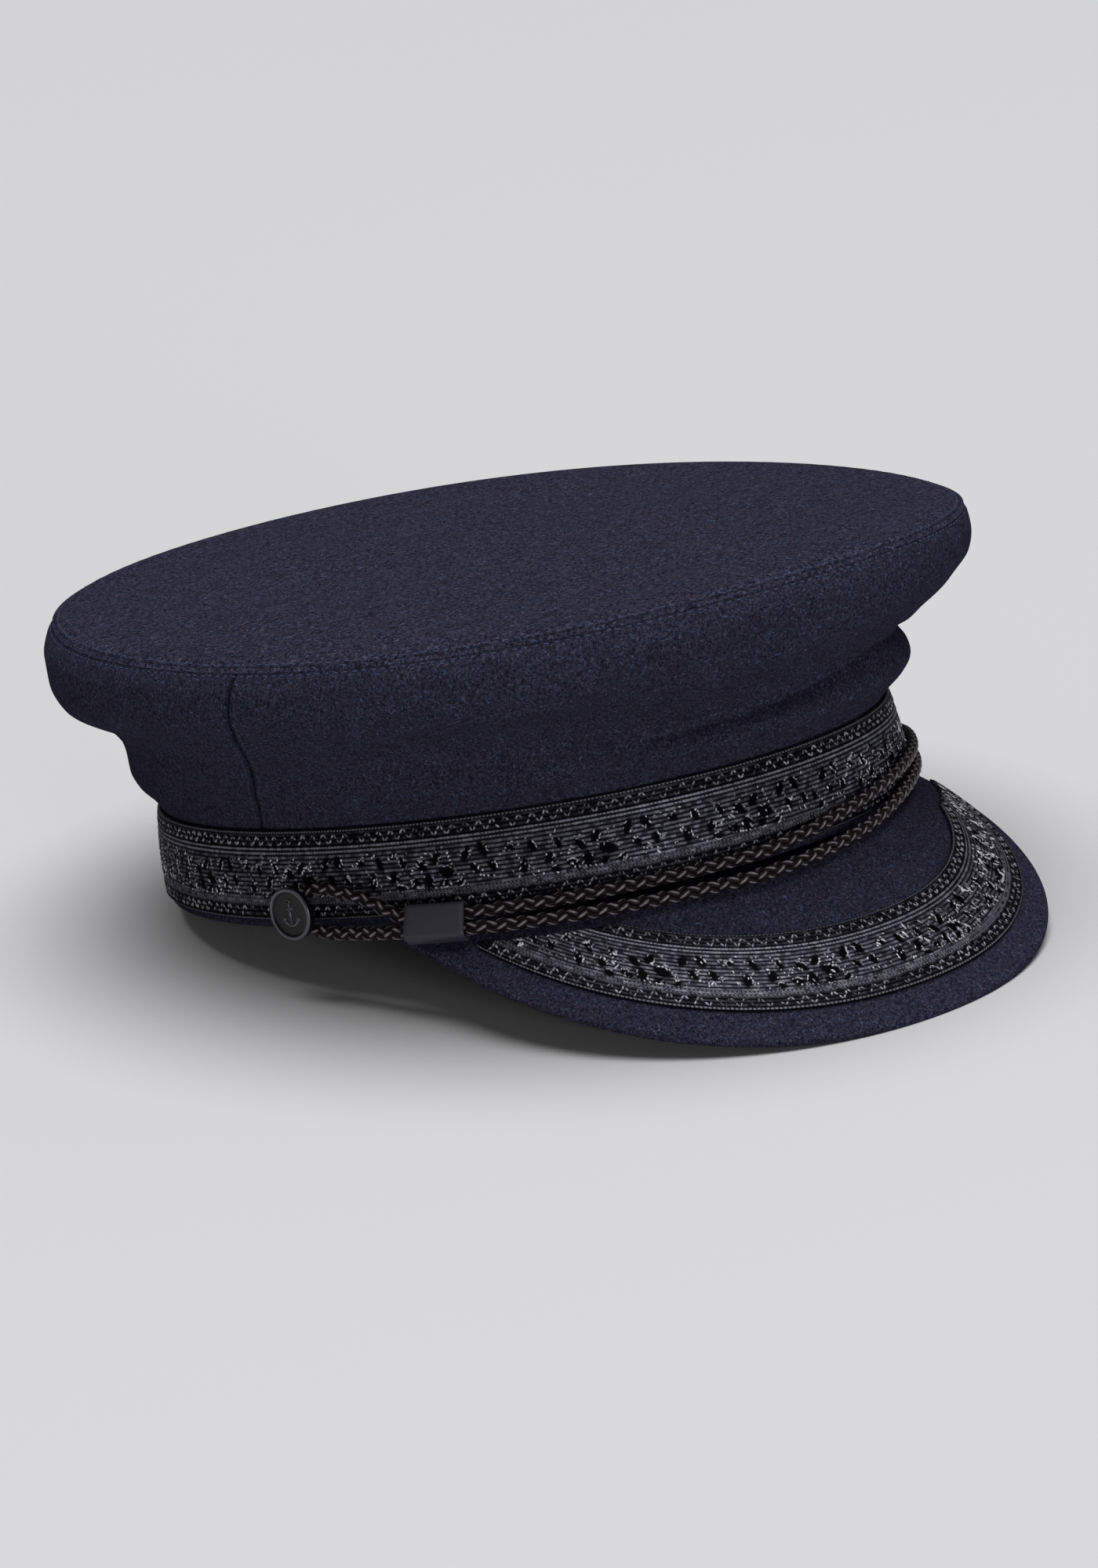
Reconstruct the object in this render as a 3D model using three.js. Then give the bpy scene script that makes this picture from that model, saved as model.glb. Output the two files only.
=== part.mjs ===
// Breton fisherman cap, in millimetres, +Z up, the peak towards -Y and the wearer's left at +X.
// A wool crown of a top panel and two side panels stands on a stiff headband, with a woven ribbon
// round the band and another on the arched peak, and two braided cords across the front, each pair
// held by a slider and ending under a button. The cap is drawn on its hem plane, then laid to rest
// on the front of the peak and the back of the hem.

import * as THREE from 'three';

// Headband: the inside is an oval that fits the head
const headLength = 199;
const headWidth = 167.2;
const headEgg = 0.03; // how much wider the head is behind the middle than ahead
const bandWall = 2.6;
const bandLean = 2.0; // how far the band draws in at its top
const leanRound = 3; // exponent: most of bandLean is in the upper part
const fitGap = 0.3; // between neighbouring pieces

// Woven ribbon, the same on the band and on the peak
const ribbonWidth = 21.5;
const ribbonThickness = 0.9;
const hemStrip = 2.2; // cloth that shows below the band's ribbon

// Crown: the seam ring round its top panel
const clothWall = 2.0;
const crownLength = 238.2;
const crownWidth = 216.2;
const crownForward = 8.6; // the crown's middle lies ahead of the band's
const crownHeight = 71.1; // hem to seam ring, on the average
const crownRise = 6.6; // how much higher than that it is behind, and lower in front
const crownSaddle = 1.55; // how much the ring dips at the sides
const crownWave = 0.8; // three gentle waves round the ring
const crownEgg = 0.03; // how much wider it is behind the middle than ahead
const crownDome = 2.3; // rise of the top panel's middle

// Side seams of the crown, in degrees round from the front, and the folds of the wall
const seamFoot = 89.3;
const seamLean = 11; // the seam's top lies this much further forward
const frontFold = { at: -40, reach: 60 };
const backFold = { at: 150, reach: 75 };

// Sections of the crown wall. up is the share of the way from the band to the seam ring, and the
// other columns are the share of the way out to the ring, at the sides and in the two folds.
const wallSections = [
  { up: 0.0, side: 0.0, front: 0.0, back: 0.0 },
  { up: 0.06, side: 0.06, front: 0.1, back: 0.1 },
  { up: 0.13, side: 0.14, front: 0.22, back: 0.28 },
  { up: 0.21, side: 0.22, front: 0.27, back: 0.36 },
  { up: 0.29, side: 0.28, front: 0.26, back: 0.36 },
  { up: 0.36, side: 0.38, front: 0.29, back: 0.39 },
  { up: 0.43, side: 0.52, front: 0.35, back: 0.53 },
  { up: 0.52, side: 0.75, front: 0.54, back: 0.88 },
  { up: 0.62, side: 0.97, front: 0.84, back: 1.12 },
  { up: 0.74, side: 1.08, front: 1.0, back: 1.22 },
  { up: 0.86, side: 1.09, front: 1.03, back: 1.22 },
  { up: 0.95, side: 1.05, front: 1.02, back: 1.12 },
  { up: 1.0, side: 1.0, front: 1.0, back: 1.0 },
];

// The top panel's rings inside its rim as shares of its half width, and its rounded rim itself as
// shares of the cloth's thickness, from its underside to its top
const lidInsets = [0.15, 0.3, 0.65];
const lidRim = [
  { inset: 1.8, rise: 0 },
  { inset: 1.0, rise: 0 },
  { inset: 0.0, rise: 0 },
  { inset: -0.05, rise: 0.4 },
  { inset: 0.5, rise: 0.85 },
  { inset: 2.0, rise: 1.0 },
];

// Peak: a stiff curved board whose edge falls forward from the hem
const peakReach = 51.6; // along its slope, at the middle
const peakLip = 3.9; // what is left of that at its two ends
const peakSpan = 66.1; // degrees round from the front to an end
const peakRound = 2.25; // exponents of its outline
const peakTaper = 1.21;
const peakSlope = 48; // degrees below the hem plane, at the middle
const peakEase = 12.6; // how much less steep it is at its ends
const peakWall = 2.6;
const peakRim = [30, 67, 113, 150]; // degrees down round its rounded edge
const peakMargin = 8.7; // cloth between the peak's ribbon and its edge
const ribbonClear = 7.4; // along the slope from the band to the peak's ribbon, past the cords
const ribbonTip = 1.5; // width of the ribbon's pointed ends on the peak

// Cords, sliders and buttons
const cordDiameter = 3.4;
const sliderLength = 14.2;
const sliderWall = 0.6;
const sliderCorner = 0.95; // radius of its rounded edges
const buttonDiameter = 12.9;
const buttonThickness = 1.8;
const buttonEdge = 0.36; // rounding of its rim
const buttonRim = 0.84; // width of the rim's flat
const buttonDish = 0.5; // depth of its face below the rim
const shankDiameter = 2.4;
const buttonAround = 81.5; // degrees round from the front, to both sides
const buttonRise = 5.4;
const sliderAround = { right: 59.6, left: -71.5 }; // degrees round from the front
const sliderReach = 4.9; // degrees of the route to each side that a slider holds straight
const heldSpread = 1.02; // inside a slider, in the route's own terms

// The route of both cords. around is in degrees from the front towards the wearer's right, rise is
// the height halfway between the two, clear is from the ribbon to the upper cord, spread is the
// cords' distance in cord pitches, and lean is how far the line between them tips outward at its
// foot, in degrees.
const cordRoute = [
  { around: buttonAround, rise: buttonRise, clear: 0.28, spread: 1.88, lean: 2 },
  { around: 77.5, rise: 5.2, clear: 0.21, spread: 2.88, lean: 2 },
  { around: 74, rise: 4.5, clear: 0.35, spread: 2.71, lean: 4 },
  { around: 70, rise: 3.4, clear: 0.69, spread: 2.11, lean: 12 },
  { around: 67, rise: 2.1, clear: 1.5, spread: 1.44, lean: 22 },
  { around: sliderAround.right + sliderReach, rise: 1.2, clear: 2.32, spread: heldSpread, lean: 31 },
  { around: sliderAround.right, rise: 0.9, clear: 2.29, spread: heldSpread, lean: 32 },
  { around: sliderAround.right - sliderReach, rise: 0.7, clear: 2.29, spread: heldSpread, lean: 32 },
  { around: 50.5, rise: 0.5, clear: 1.19, spread: 1.15, lean: 31 },
  { around: 44, rise: 0.3, clear: 0.47, spread: 1.2, lean: 32 },
  { around: 33, rise: 0.4, clear: 0.4, spread: 1.3, lean: 31 },
  { around: 15, rise: 0.6, clear: 0.4, spread: 1.41, lean: 31 },
  { around: 4, rise: 1.7, clear: 0.33, spread: 1.55, lean: 22 },
  { around: -9, rise: 3.5, clear: 0.32, spread: 1.66, lean: 12 },
  { around: -23, rise: 5.3, clear: 0.3, spread: 1.44, lean: 5 },
  { around: -37, rise: 5.8, clear: 0.28, spread: 1.24, lean: 1 },
  { around: -50, rise: 5.6, clear: 0.27, spread: 1.16, lean: 1 },
  { around: -60, rise: 5.3, clear: 0.53, spread: 1.14, lean: 2 },
  { around: sliderAround.left + sliderReach, rise: 5.2, clear: 1.23, spread: heldSpread, lean: 2 },
  { around: sliderAround.left, rise: 5.2, clear: 1.23, spread: heldSpread, lean: 2 },
  { around: sliderAround.left - sliderReach, rise: 5.2, clear: 1.02, spread: 1.17, lean: 2 },
  { around: -78.7, rise: 5.3, clear: 0.5, spread: 1.55, lean: 2 },
  { around: -buttonAround, rise: buttonRise, clear: 0.28, spread: 1.88, lean: 2 },
];

// How far the cloth hem and the peak's edge are pressed flat where the cap rests
const restPress = 0.8;

// Facets round the cap, across the peak, round and along a cord, and round a button
const ringColumns = 64;
const frontColumns = 31;
const peakColumns = 40;
const ribbonColumns = 32;
const cordSides = 8;
const cordSteps = 48;
const buttonColumns = 24;

// Sizes that follow
const bandTop = hemStrip + ribbonWidth;
const ribbonSeat = bandWall + fitGap; // from the head to the inside of the ribbon
const bandDepth = ribbonSeat + ribbonThickness; // from the head to the outside of the ribbon
const cordRadius = cordDiameter / 2;
const cordPitch = cordDiameter + fitGap;

const degrees = (angle) => THREE.MathUtils.degToRad(angle);
const lerp = THREE.MathUtils.lerp;

// The head's oval, grown by a depth. The angle runs from the front towards the wearer's right.
function oval(angle, depth, height) {
  const width = (headWidth / 2 + depth) * (1 - headEgg * Math.cos(angle));
  const y = -(headLength / 2 + depth) * Math.cos(angle);
  return new THREE.Vector3(-width * Math.sin(angle), y, height);
}

function ovalNormal(angle) {
  const x = -(headLength / 2 + bandDepth) * Math.sin(angle);
  const egg = Math.cos(angle) - headEgg * Math.cos(2 * angle);
  return new THREE.Vector3(x, -(headWidth / 2 + bandDepth) * egg, 0).normalize();
}

// A point of the band, which draws in from hem to top
function bandPoint(angle, depth, height) {
  const share = Math.max(height, 0) / bandTop;
  return oval(angle, depth - bandLean * share ** leanRound, height);
}

// The seam ring round the crown, and the same curve shrunk towards its middle
function crownPoint(angle, share) {
  const width = crownWidth / 2 * (1 - crownEgg * Math.cos(angle));
  const x = -width * Math.sin(angle) * share;
  const y = -crownLength / 2 * Math.cos(angle) * share - crownForward;
  const tip = -crownRise * Math.cos(angle) * share;
  const saddle = crownSaddle * Math.cos(2 * angle) * share ** 2;
  const wave = crownWave * Math.cos(3 * angle) * share ** 3;
  return new THREE.Vector3(x, y, crownHeight + tip + saddle + wave);
}

// 1 at a fold's middle, easing to 0 at its reach
function foldWeight(angle, fold) {
  const turn = THREE.MathUtils.euclideanModulo(THREE.MathUtils.radToDeg(angle) - fold.at + 180, 360);
  return THREE.MathUtils.smoothstep(1 - Math.abs(turn - 180) / fold.reach, 0, 1);
}

// A point of the crown wall's outside, at one of its sections
function wallPoint(angle, section) {
  const front = foldWeight(angle, frontFold);
  const back = foldWeight(angle, backFold);
  const out = section.side * (1 - front - back) + section.front * front + section.back * back;
  const foot = bandPoint(angle, bandWall, bandTop);
  foot.z += fitGap;
  const head = crownPoint(angle, 1);
  const point = foot.clone().lerp(head, out);
  point.z = lerp(foot.z, head.z, section.up);
  return point;
}

// Closes triangles over a list of points into a geometry
function solid(points, faces) {
  const geometry = new THREE.BufferGeometry();
  const numbers = points.flatMap((point) => point.toArray());
  geometry.setAttribute('position', new THREE.Float32BufferAttribute(numbers, 3));
  geometry.setIndex(faces.flat());
  geometry.computeVertexNormals();
  return geometry;
}

// A wall from stations along it, each with a row of outside points and as many inside points
function wallSolid(stations, closed) {
  const rows = stations[0].outside.length;
  const loop = 2 * rows;
  const points = stations.flatMap((station) => [...station.outside, ...station.inside.toReversed()]);
  const faces = [];
  const quad = (a, b, c, d) => faces.push([a, b, c], [a, c, d]);
  const spans = closed ? stations.length : stations.length - 1;
  for (let i = 0; i < spans; i++) {
    const here = i * loop;
    const next = ((i + 1) % stations.length) * loop;
    for (let j = 0; j < loop; j++) {
      const k = (j + 1) % loop;
      quad(here + j, here + k, next + k, next + j);
    }
  }
  if (!closed) {
    const last = (stations.length - 1) * loop;
    for (let j = 0; j < rows - 1; j++) {
      const across = loop - 1 - j;
      quad(j, across, across - 1, j + 1);
      quad(last + j, last + j + 1, last + across - 1, last + across);
    }
  }
  return solid(points, faces);
}

// A lid from rings of points, from the middle of its underside, over the rim, to its top
function lidSolid(under, rings, over) {
  const count = rings[0].length;
  const points = [under, ...rings.flat(), over];
  const faces = [];
  const last = 1 + (rings.length - 1) * count;
  for (let i = 0; i < count; i++) {
    const next = (i + 1) % count;
    faces.push([0, 1 + i, 1 + next]);
    for (let r = 0; r < rings.length - 1; r++) {
      const low = 1 + r * count;
      const high = low + count;
      faces.push([low + i, high + i, high + next], [low + i, high + next, low + next]);
    }
    faces.push([last + i, points.length - 1, last + next]);
  }
  return solid(points, faces);
}

// A sleeve from stations of two loops each, the outer and the inner
function sleeveSolid(stations) {
  const count = stations[0].outer.length;
  const points = stations.flatMap((station) => [...station.outer, ...station.inner]);
  const faces = [];
  const quad = (a, b, c, d) => faces.push([a, b, c], [a, c, d]);
  const step = 2 * count;
  for (let j = 0; j < count; j++) {
    const k = (j + 1) % count;
    for (let i = 0; i < stations.length - 1; i++) {
      const here = i * step;
      const next = here + step;
      quad(here + j, here + k, next + k, next + j);
      quad(here + count + j, next + count + j, next + count + k, here + count + k);
    }
    const last = (stations.length - 1) * step;
    quad(j, count + j, count + k, k);
    quad(last + j, last + k, last + count + k, last + count + j);
  }
  return solid(points, faces);
}

// A closed ring of the band's section between two depths and two heights
function bandRing(inner, outer, low, high) {
  const stations = [];
  for (let i = 0; i < ringColumns; i++) {
    const angle = i / ringColumns * 2 * Math.PI;
    stations.push({
      outside: [bandPoint(angle, outer, low), bandPoint(angle, outer, high)],
      inside: [bandPoint(angle, inner, low), bandPoint(angle, inner, high)],
    });
  }
  return wallSolid(stations, true);
}

// The inside of the crown wall behind a point, level at the foot and at the seam ring
function wallInside(angle, index) {
  const section = wallSections[index];
  const turn = Math.PI / ringColumns;
  const around = wallPoint(angle + turn, section).sub(wallPoint(angle - turn, section));
  const below = wallSections[Math.max(index - 1, 0)];
  const above = wallSections[Math.min(index + 1, wallSections.length - 1)];
  const upward = wallPoint(angle, above).sub(wallPoint(angle, below));
  const normal = upward.cross(around).normalize();
  if (index === 0 || index === wallSections.length - 1) {
    normal.setZ(0).normalize();
  }
  return wallPoint(angle, section).addScaledVector(normal, -clothWall);
}

// One side panel of the crown, from seam to seam about a middle angle
function crownPanel(middle, columns) {
  const stations = [];
  for (let i = 0; i <= columns; i++) {
    const share = 2 * i / columns - 1;
    const angleAt = (section) => {
      const seam = degrees(seamFoot - seamLean * section.up);
      const half = (middle === 0 ? seam : Math.PI - seam) - fitGap / headWidth;
      return middle + share * half;
    };
    stations.push({
      outside: wallSections.map((section) => wallPoint(angleAt(section), section)),
      inside: wallSections.map((section, index) => wallInside(angleAt(section), index)),
    });
  }
  return wallSolid(stations, false);
}

// The top panel sits on the wall's upper edge, with a rounded rim
function crownLid() {
  const ring = (inset, rise) => {
    const points = [];
    for (let i = 0; i < ringColumns; i++) {
      const angle = i / ringColumns * 2 * Math.PI;
      const share = 1 - inset / (crownWidth / 2);
      const point = crownPoint(angle, share);
      point.z += fitGap + rise + crownDome * (1 - share ** 2);
      points.push(point);
    }
    return points;
  };
  const middle = crownPoint(0, 0);
  middle.z += fitGap + crownDome;
  const over = middle.clone();
  over.z += clothWall;
  const insets = lidInsets.map((share) => share * crownWidth / 2);
  const rings = [
    ...insets.toReversed().map((inset) => ring(inset, 0)),
    ...lidRim.map(({ inset, rise }) => ring(inset * clothWall, rise * clothWall)),
    ...insets.map((inset) => ring(inset, clothWall)),
  ];
  return lidSolid(middle, rings, over);
}

// The peak's outline and slope at a share of its span, -1 to 1
function peakLength(share) {
  const fullness = Math.max(1 - Math.abs(share) ** peakRound, 0) ** peakTaper;
  return peakLip + (peakReach - peakLip) * fullness;
}

function peakAngle(share) {
  return degrees(peakSlope - peakEase * share ** 2);
}

// A point of the peak, a way along its slope and a depth below its upper face
function peakPoint(share, along, depth) {
  const angle = degrees(peakSpan * share);
  const slope = peakAngle(share);
  const out = along * Math.cos(slope) - depth * Math.sin(slope);
  const point = oval(angle, bandDepth, 0).addScaledVector(ovalNormal(angle), out);
  point.z = -fitGap - along * Math.sin(slope) - depth * Math.cos(slope);
  return point;
}

// The flat root of the peak, tucked under the headband
function rootPoint(share, tuck, depth) {
  const angle = degrees(peakSpan * share);
  return oval(angle, bandDepth, -fitGap - depth).addScaledVector(ovalNormal(angle), -tuck);
}

function peakStation(share) {
  const radius = peakWall / 2;
  const bend = peakWall * Math.tan(peakAngle(share) / 2);
  const end = peakLength(share) - radius;
  const [shoulder, upper, lower, heel] = peakRim.map(degrees).map((turn) =>
    peakPoint(share, end + radius * Math.sin(turn), radius - radius * Math.cos(turn)));
  const alongs = [1, 2 / 3, 1 / 3].map((part) => bend + part * (end - bend));
  return {
    outside: [
      upper,
      shoulder,
      ...alongs.map((along) => peakPoint(share, along, 0)),
      rootPoint(share, 0, 0),
      rootPoint(share, bandDepth, 0),
    ],
    inside: [
      lower,
      heel,
      ...alongs.map((along) => peakPoint(share, along, peakWall)),
      rootPoint(share, bend, peakWall),
      rootPoint(share, bandDepth, peakWall),
    ],
  };
}

function peakBoard() {
  const stations = [];
  for (let i = 0; i <= peakColumns; i++) {
    stations.push(peakStation(2 * i / peakColumns - 1));
  }
  return wallSolid(stations, false);
}

// The peak's ribbon follows its edge, and runs out beside the cords at both ends
function peakRibbon() {
  const tipLength = peakMargin + ribbonClear + ribbonTip;
  const fullness = (tipLength - peakLip) / (peakReach - peakLip);
  const end = (1 - fullness ** (1 / peakTaper)) ** (1 / peakRound);
  const stations = [];
  for (let i = 0; i <= ribbonColumns; i++) {
    const share = end * (2 * i / ribbonColumns - 1);
    const outer = peakLength(share) - peakMargin;
    const inner = Math.max(outer - ribbonWidth, ribbonClear);
    const alongs = [outer, (outer + inner) / 2, inner];
    stations.push({
      outside: alongs.map((along) => peakPoint(share, along, -fitGap - ribbonThickness)),
      inside: alongs.map((along) => peakPoint(share, along, -fitGap)),
    });
  }
  return wallSolid(stations, false);
}

// A route point between the two cords, and the way from it to the upper cord
function routeFrame(stop) {
  const angle = degrees(stop.around);
  const normal = ovalNormal(angle);
  const lean = degrees(stop.lean);
  const out = stop.clear + cordRadius + Math.sin(lean) * stop.spread * cordPitch / 2;
  const centre = bandPoint(angle, bandDepth, stop.rise).addScaledVector(normal, out);
  const upward = new THREE.Vector3(0, 0, Math.cos(lean)).addScaledVector(normal, -Math.sin(lean));
  return { centre, upward };
}

// side is 1 for the upper cord, -1 for the lower and 0 for the line between them
function routeCurve(side) {
  const points = cordRoute.map((stop) => {
    const { centre, upward } = routeFrame(stop);
    return centre.addScaledVector(upward, side * stop.spread * cordPitch / 2);
  });
  return new THREE.CatmullRomCurve3(points, false, 'centripetal');
}

function cord(side) {
  const shape = new THREE.Shape();
  const corners = [];
  for (let i = 0; i < cordSides; i++) {
    const turn = i / cordSides * 2 * Math.PI;
    corners.push(new THREE.Vector2(cordRadius * Math.cos(turn), cordRadius * Math.sin(turn)));
  }
  shape.setFromPoints(corners);
  const options = { steps: cordSteps, extrudePath: routeCurve(side), bevelEnabled: false };
  return new THREE.ExtrudeGeometry(shape, options);
}

// The route's own values at any angle, between two of its rows
function routeStop(around) {
  const after = cordRoute.findIndex((stop) => stop.around < around);
  const from = cordRoute[after - 1];
  const to = cordRoute[after];
  const share = (from.around - around) / (from.around - to.around);
  const mixed = {};
  for (const key of Object.keys(from)) {
    mixed[key] = lerp(from[key], to[key], share);
  }
  return mixed;
}

// A rounded rectangle in the plane of a station, with its long side along upward
function roundedLoop(frame, halfHeight, halfDepth, radius) {
  const loop = [];
  const corners = [[1, 1, 0], [-1, 1, 90], [-1, -1, 180], [1, -1, 270]];
  for (const [outSign, upSign, start] of corners) {
    for (const turn of [0, 45, 90]) {
      const angle = degrees(start + turn);
      const out = outSign * (halfDepth - radius) + radius * Math.cos(angle);
      const up = upSign * (halfHeight - radius) + radius * Math.sin(angle);
      const point = frame.centre.clone().addScaledVector(frame.outward, out);
      loop.push(point.addScaledVector(frame.upward, up));
    }
  }
  return loop;
}

// A flat sleeve round both cords, centred at an angle of the route
function slider(around) {
  const halfTurn = sliderLength / 2 / (headLength / 2) * (180 / Math.PI);
  const inHeight = cordPitch / 2 * heldSpread + cordRadius + fitGap;
  const inDepth = cordRadius + fitGap;
  const stations = [];
  for (const share of [-1, -0.5, 0, 0.5, 1]) {
    const { centre, upward } = routeFrame(routeStop(around + share * halfTurn));
    const ahead = routeFrame(routeStop(around + share * halfTurn - 1)).centre.sub(centre);
    const outward = ahead.clone().cross(upward).normalize();
    const frame = { centre, upward, outward };
    stations.push({
      outer: roundedLoop(frame, inHeight + sliderWall, inDepth + sliderWall, sliderCorner),
      inner: roundedLoop(frame, inHeight, inDepth, sliderCorner - sliderWall / 3),
    });
  }
  return sleeveSolid(stations);
}

// A dished disc with a raised rim, on a shank that stands on the ribbon between the cord ends
function buttonGeometry() {
  const radius = buttonDiameter / 2;
  const shank = shankDiameter / 2;
  const back = cordDiameter + 3 * fitGap;
  const face = back + buttonThickness;
  const profile = [
    [0, fitGap],
    [shank, fitGap],
    [shank, back],
    [radius - buttonEdge, back],
    [radius, back + buttonEdge],
    [radius, face - buttonEdge],
    [radius - buttonEdge, face],
    [radius - buttonRim, face],
    [radius - buttonRim - buttonDish, face - buttonDish],
    [0, face - buttonDish],
  ];
  const points = profile.map(([x, y]) => new THREE.Vector2(x, y));
  return new THREE.LatheGeometry(points, buttonColumns);
}

// The tangent from the back of the hem to the peak's rim gives the cap's tilt at rest
const hemBack = headLength / 2 + bandWall;
const rimPoints = peakStation(0).outside.concat(peakStation(0).inside);
const restTilt = Math.max(...rimPoints.map((point) => Math.atan2(-point.z, hemBack - point.y)));
const floorNormal = new THREE.Vector3(0, -Math.sin(restTilt), Math.cos(restTilt));
const floorLevel = -hemBack * Math.sin(restTilt) + restPress;

// Presses what would lie below the floor flat onto it
function restFlat(geometry) {
  const place = geometry.getAttribute('position');
  const point = new THREE.Vector3();
  for (let i = 0; i < place.count; i++) {
    point.fromBufferAttribute(place, i);
    const below = floorLevel - floorNormal.dot(point);
    if (below > 0) {
      point.addScaledVector(floorNormal, below);
      place.setXYZ(i, point.x, point.y, point.z);
    }
  }
  return geometry;
}

const wool = { color: 0x2f3247, roughness: 0.95, metalness: 0 };
const weave = { color: 0x2c2c31, roughness: 0.55, metalness: 0 };
const braid = { color: 0x2b2220, roughness: 0.5, metalness: 0 };
const slate = { color: 0x4a4b55, roughness: 0.4, metalness: 0.3 };
const black = { color: 0x1d1d21, roughness: 0.3, metalness: 0.2 };

const hat = new THREE.Group();

function add(name, geometry, finish) {
  const mesh = new THREE.Mesh(geometry, new THREE.MeshStandardMaterial(finish));
  mesh.name = name;
  hat.add(mesh);
  return mesh;
}

add('headband', restFlat(bandRing(0, bandWall, 0, bandTop)), wool);
add('crown_front', crownPanel(0, frontColumns), wool);
add('crown_back', crownPanel(Math.PI, ringColumns - frontColumns), wool);
add('crown_top', crownLid(), wool);
add('band_ribbon', bandRing(ribbonSeat, bandDepth, hemStrip, bandTop), weave);
add('peak', restFlat(peakBoard()), wool);
add('peak_ribbon', peakRibbon(), weave);
add('upper_cord', cord(1), braid);
add('lower_cord', cord(-1), braid);

for (const [side, sign] of [['right', 1], ['left', -1]]) {
  add(`slider_${side}`, slider(sliderAround[side]), slate);
  const button = add(`button_${side}`, buttonGeometry(), black);
  const angle = sign * degrees(buttonAround);
  button.position.copy(bandPoint(angle, bandDepth, buttonRise));
  button.quaternion.setFromUnitVectors(new THREE.Vector3(0, 1, 0), ovalNormal(angle));
}

// Lays the cap on the floor, with its origin at the middle of its base
hat.rotation.x = -restTilt;
hat.position.z = -floorLevel;
hat.updateMatrixWorld(true);
const box = new THREE.Box3().setFromObject(hat, true);
const cap = new THREE.Group();
cap.position.set(-(box.min.x + box.max.x) / 2, -(box.min.y + box.max.y) / 2, 0);
cap.add(hat);

export default cap;
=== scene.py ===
import math
import bmesh
import bpy
import numpy as np
from mathutils import Matrix, Vector


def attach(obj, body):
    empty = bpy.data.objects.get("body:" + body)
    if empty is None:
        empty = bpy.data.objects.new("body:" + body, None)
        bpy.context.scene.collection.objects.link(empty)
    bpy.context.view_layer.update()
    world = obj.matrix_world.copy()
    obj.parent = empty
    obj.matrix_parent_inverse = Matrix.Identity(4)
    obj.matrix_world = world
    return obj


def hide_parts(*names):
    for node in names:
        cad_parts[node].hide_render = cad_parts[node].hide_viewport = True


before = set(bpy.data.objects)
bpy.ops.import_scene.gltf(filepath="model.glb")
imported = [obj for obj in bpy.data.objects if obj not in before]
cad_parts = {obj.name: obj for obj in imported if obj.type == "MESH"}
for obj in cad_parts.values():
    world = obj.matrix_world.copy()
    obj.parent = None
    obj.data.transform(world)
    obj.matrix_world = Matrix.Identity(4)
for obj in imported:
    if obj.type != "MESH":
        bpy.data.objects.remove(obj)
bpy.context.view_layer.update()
random = np.random.default_rng(7)

# The cap is drawn in millimetres on its hem plane: z 0 is the hem, the peak points to -y and the
# wearer's left is +x. Angles run from the front towards the wearer's right.
capSizes = {
    "headLength": 199.0, "headWidth": 167.2, "headEgg": 0.03,
    "bandWall": 2.6, "bandLean": 2.0, "leanRound": 3, "fitGap": 0.3,
    "hemStrip": 2.2, "ribbonWidth": 21.5, "ribbonThickness": 0.9,
    "tilt": 0.1658507,  # the hem's lean forward as the cap rests
    "place": (0.2392, 9.6862, 16.0558),
}
bandTop = capSizes["hemStrip"] + capSizes["ribbonWidth"]
ribbonSeat = capSizes["bandWall"] + capSizes["fitGap"]
bandDepth = ribbonSeat + capSizes["ribbonThickness"]


# camera, floor and light come first

viewSettings = {
    "place": (-0.80536, -0.93918, 0.41339),
    "right": (0.74712, -0.65987, -0.07993),
    "up": (0.2404, 0.15615, 0.95803),
    "lens": 120.1, "shiftX": 0.0253, "shiftY": -0.0668,
    "floor": "#c6c6c8", "world": "#ffffff", "worldStrength": 0.09, "aim": (0, 0, 0.05),
    # a ceiling of soft light: where it comes from, its angle across and its strength
    "ceiling": ((0.0, 0.04, 1.0), 1.0, 3.35),
    "lamps": [  # place, width, watts
        ((-0.75, -1.9, 0.3), 0.5, 10.0),
        ((1.4, -0.8, 0.35), 0.4, 1.5),
    ],
}


def toLinear(hexText):
    shares = [int(hexText[i:i + 2], 16) / 255 for i in (1, 3, 5)]
    return (*[s / 12.92 if s <= 0.04045 else ((s + 0.055) / 1.055) ** 2.4 for s in shares], 1.0)


def addNode(tree, kind, inputs=None, **fields):
    # an input is a value, a colour's hex text, a socket, or a node whose first output goes to it
    made = tree.nodes.new("ShaderNode" + kind)
    for field, value in fields.items():
        setattr(made, field, value)
    for socketName, value in (inputs or {}).items():
        socket = made.inputs[socketName]
        if isinstance(value, str):
            value = toLinear(value)
        elif isinstance(value, bpy.types.Node):
            value = next(output for output in value.outputs if output.enabled)
        if isinstance(value, bpy.types.NodeSocket):
            tree.links.new(value, socket)
        else:
            socket.default_value = value
    return made


def newMaterial(name):
    made = bpy.data.materials.new(name)
    made.use_nodes = True
    made.node_tree.nodes.clear()
    return made, made.node_tree


def finishMaterial(made, inputs):
    shader = addNode(made.node_tree, "BsdfPrincipled", inputs)
    addNode(made.node_tree, "OutputMaterial", {"Surface": shader})
    return made


def placeCamera():
    lens = bpy.data.cameras.new("camera")
    lens.lens = viewSettings["lens"]
    lens.sensor_width = 36
    lens.shift_x = viewSettings["shiftX"]
    lens.shift_y = viewSettings["shiftY"]
    lens.clip_start = 0.05
    lens.clip_end = 100
    camera = bpy.data.objects.new("camera", lens)
    right = Vector(viewSettings["right"]).normalized()
    back = right.cross(Vector(viewSettings["up"])).normalized()
    up = back.cross(right)
    turn = Matrix((right, up, back)).transposed().to_4x4()
    camera.matrix_world = Matrix.Translation(viewSettings["place"]) @ turn
    bpy.context.scene.collection.objects.link(camera)
    bpy.context.scene.camera = camera


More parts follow.
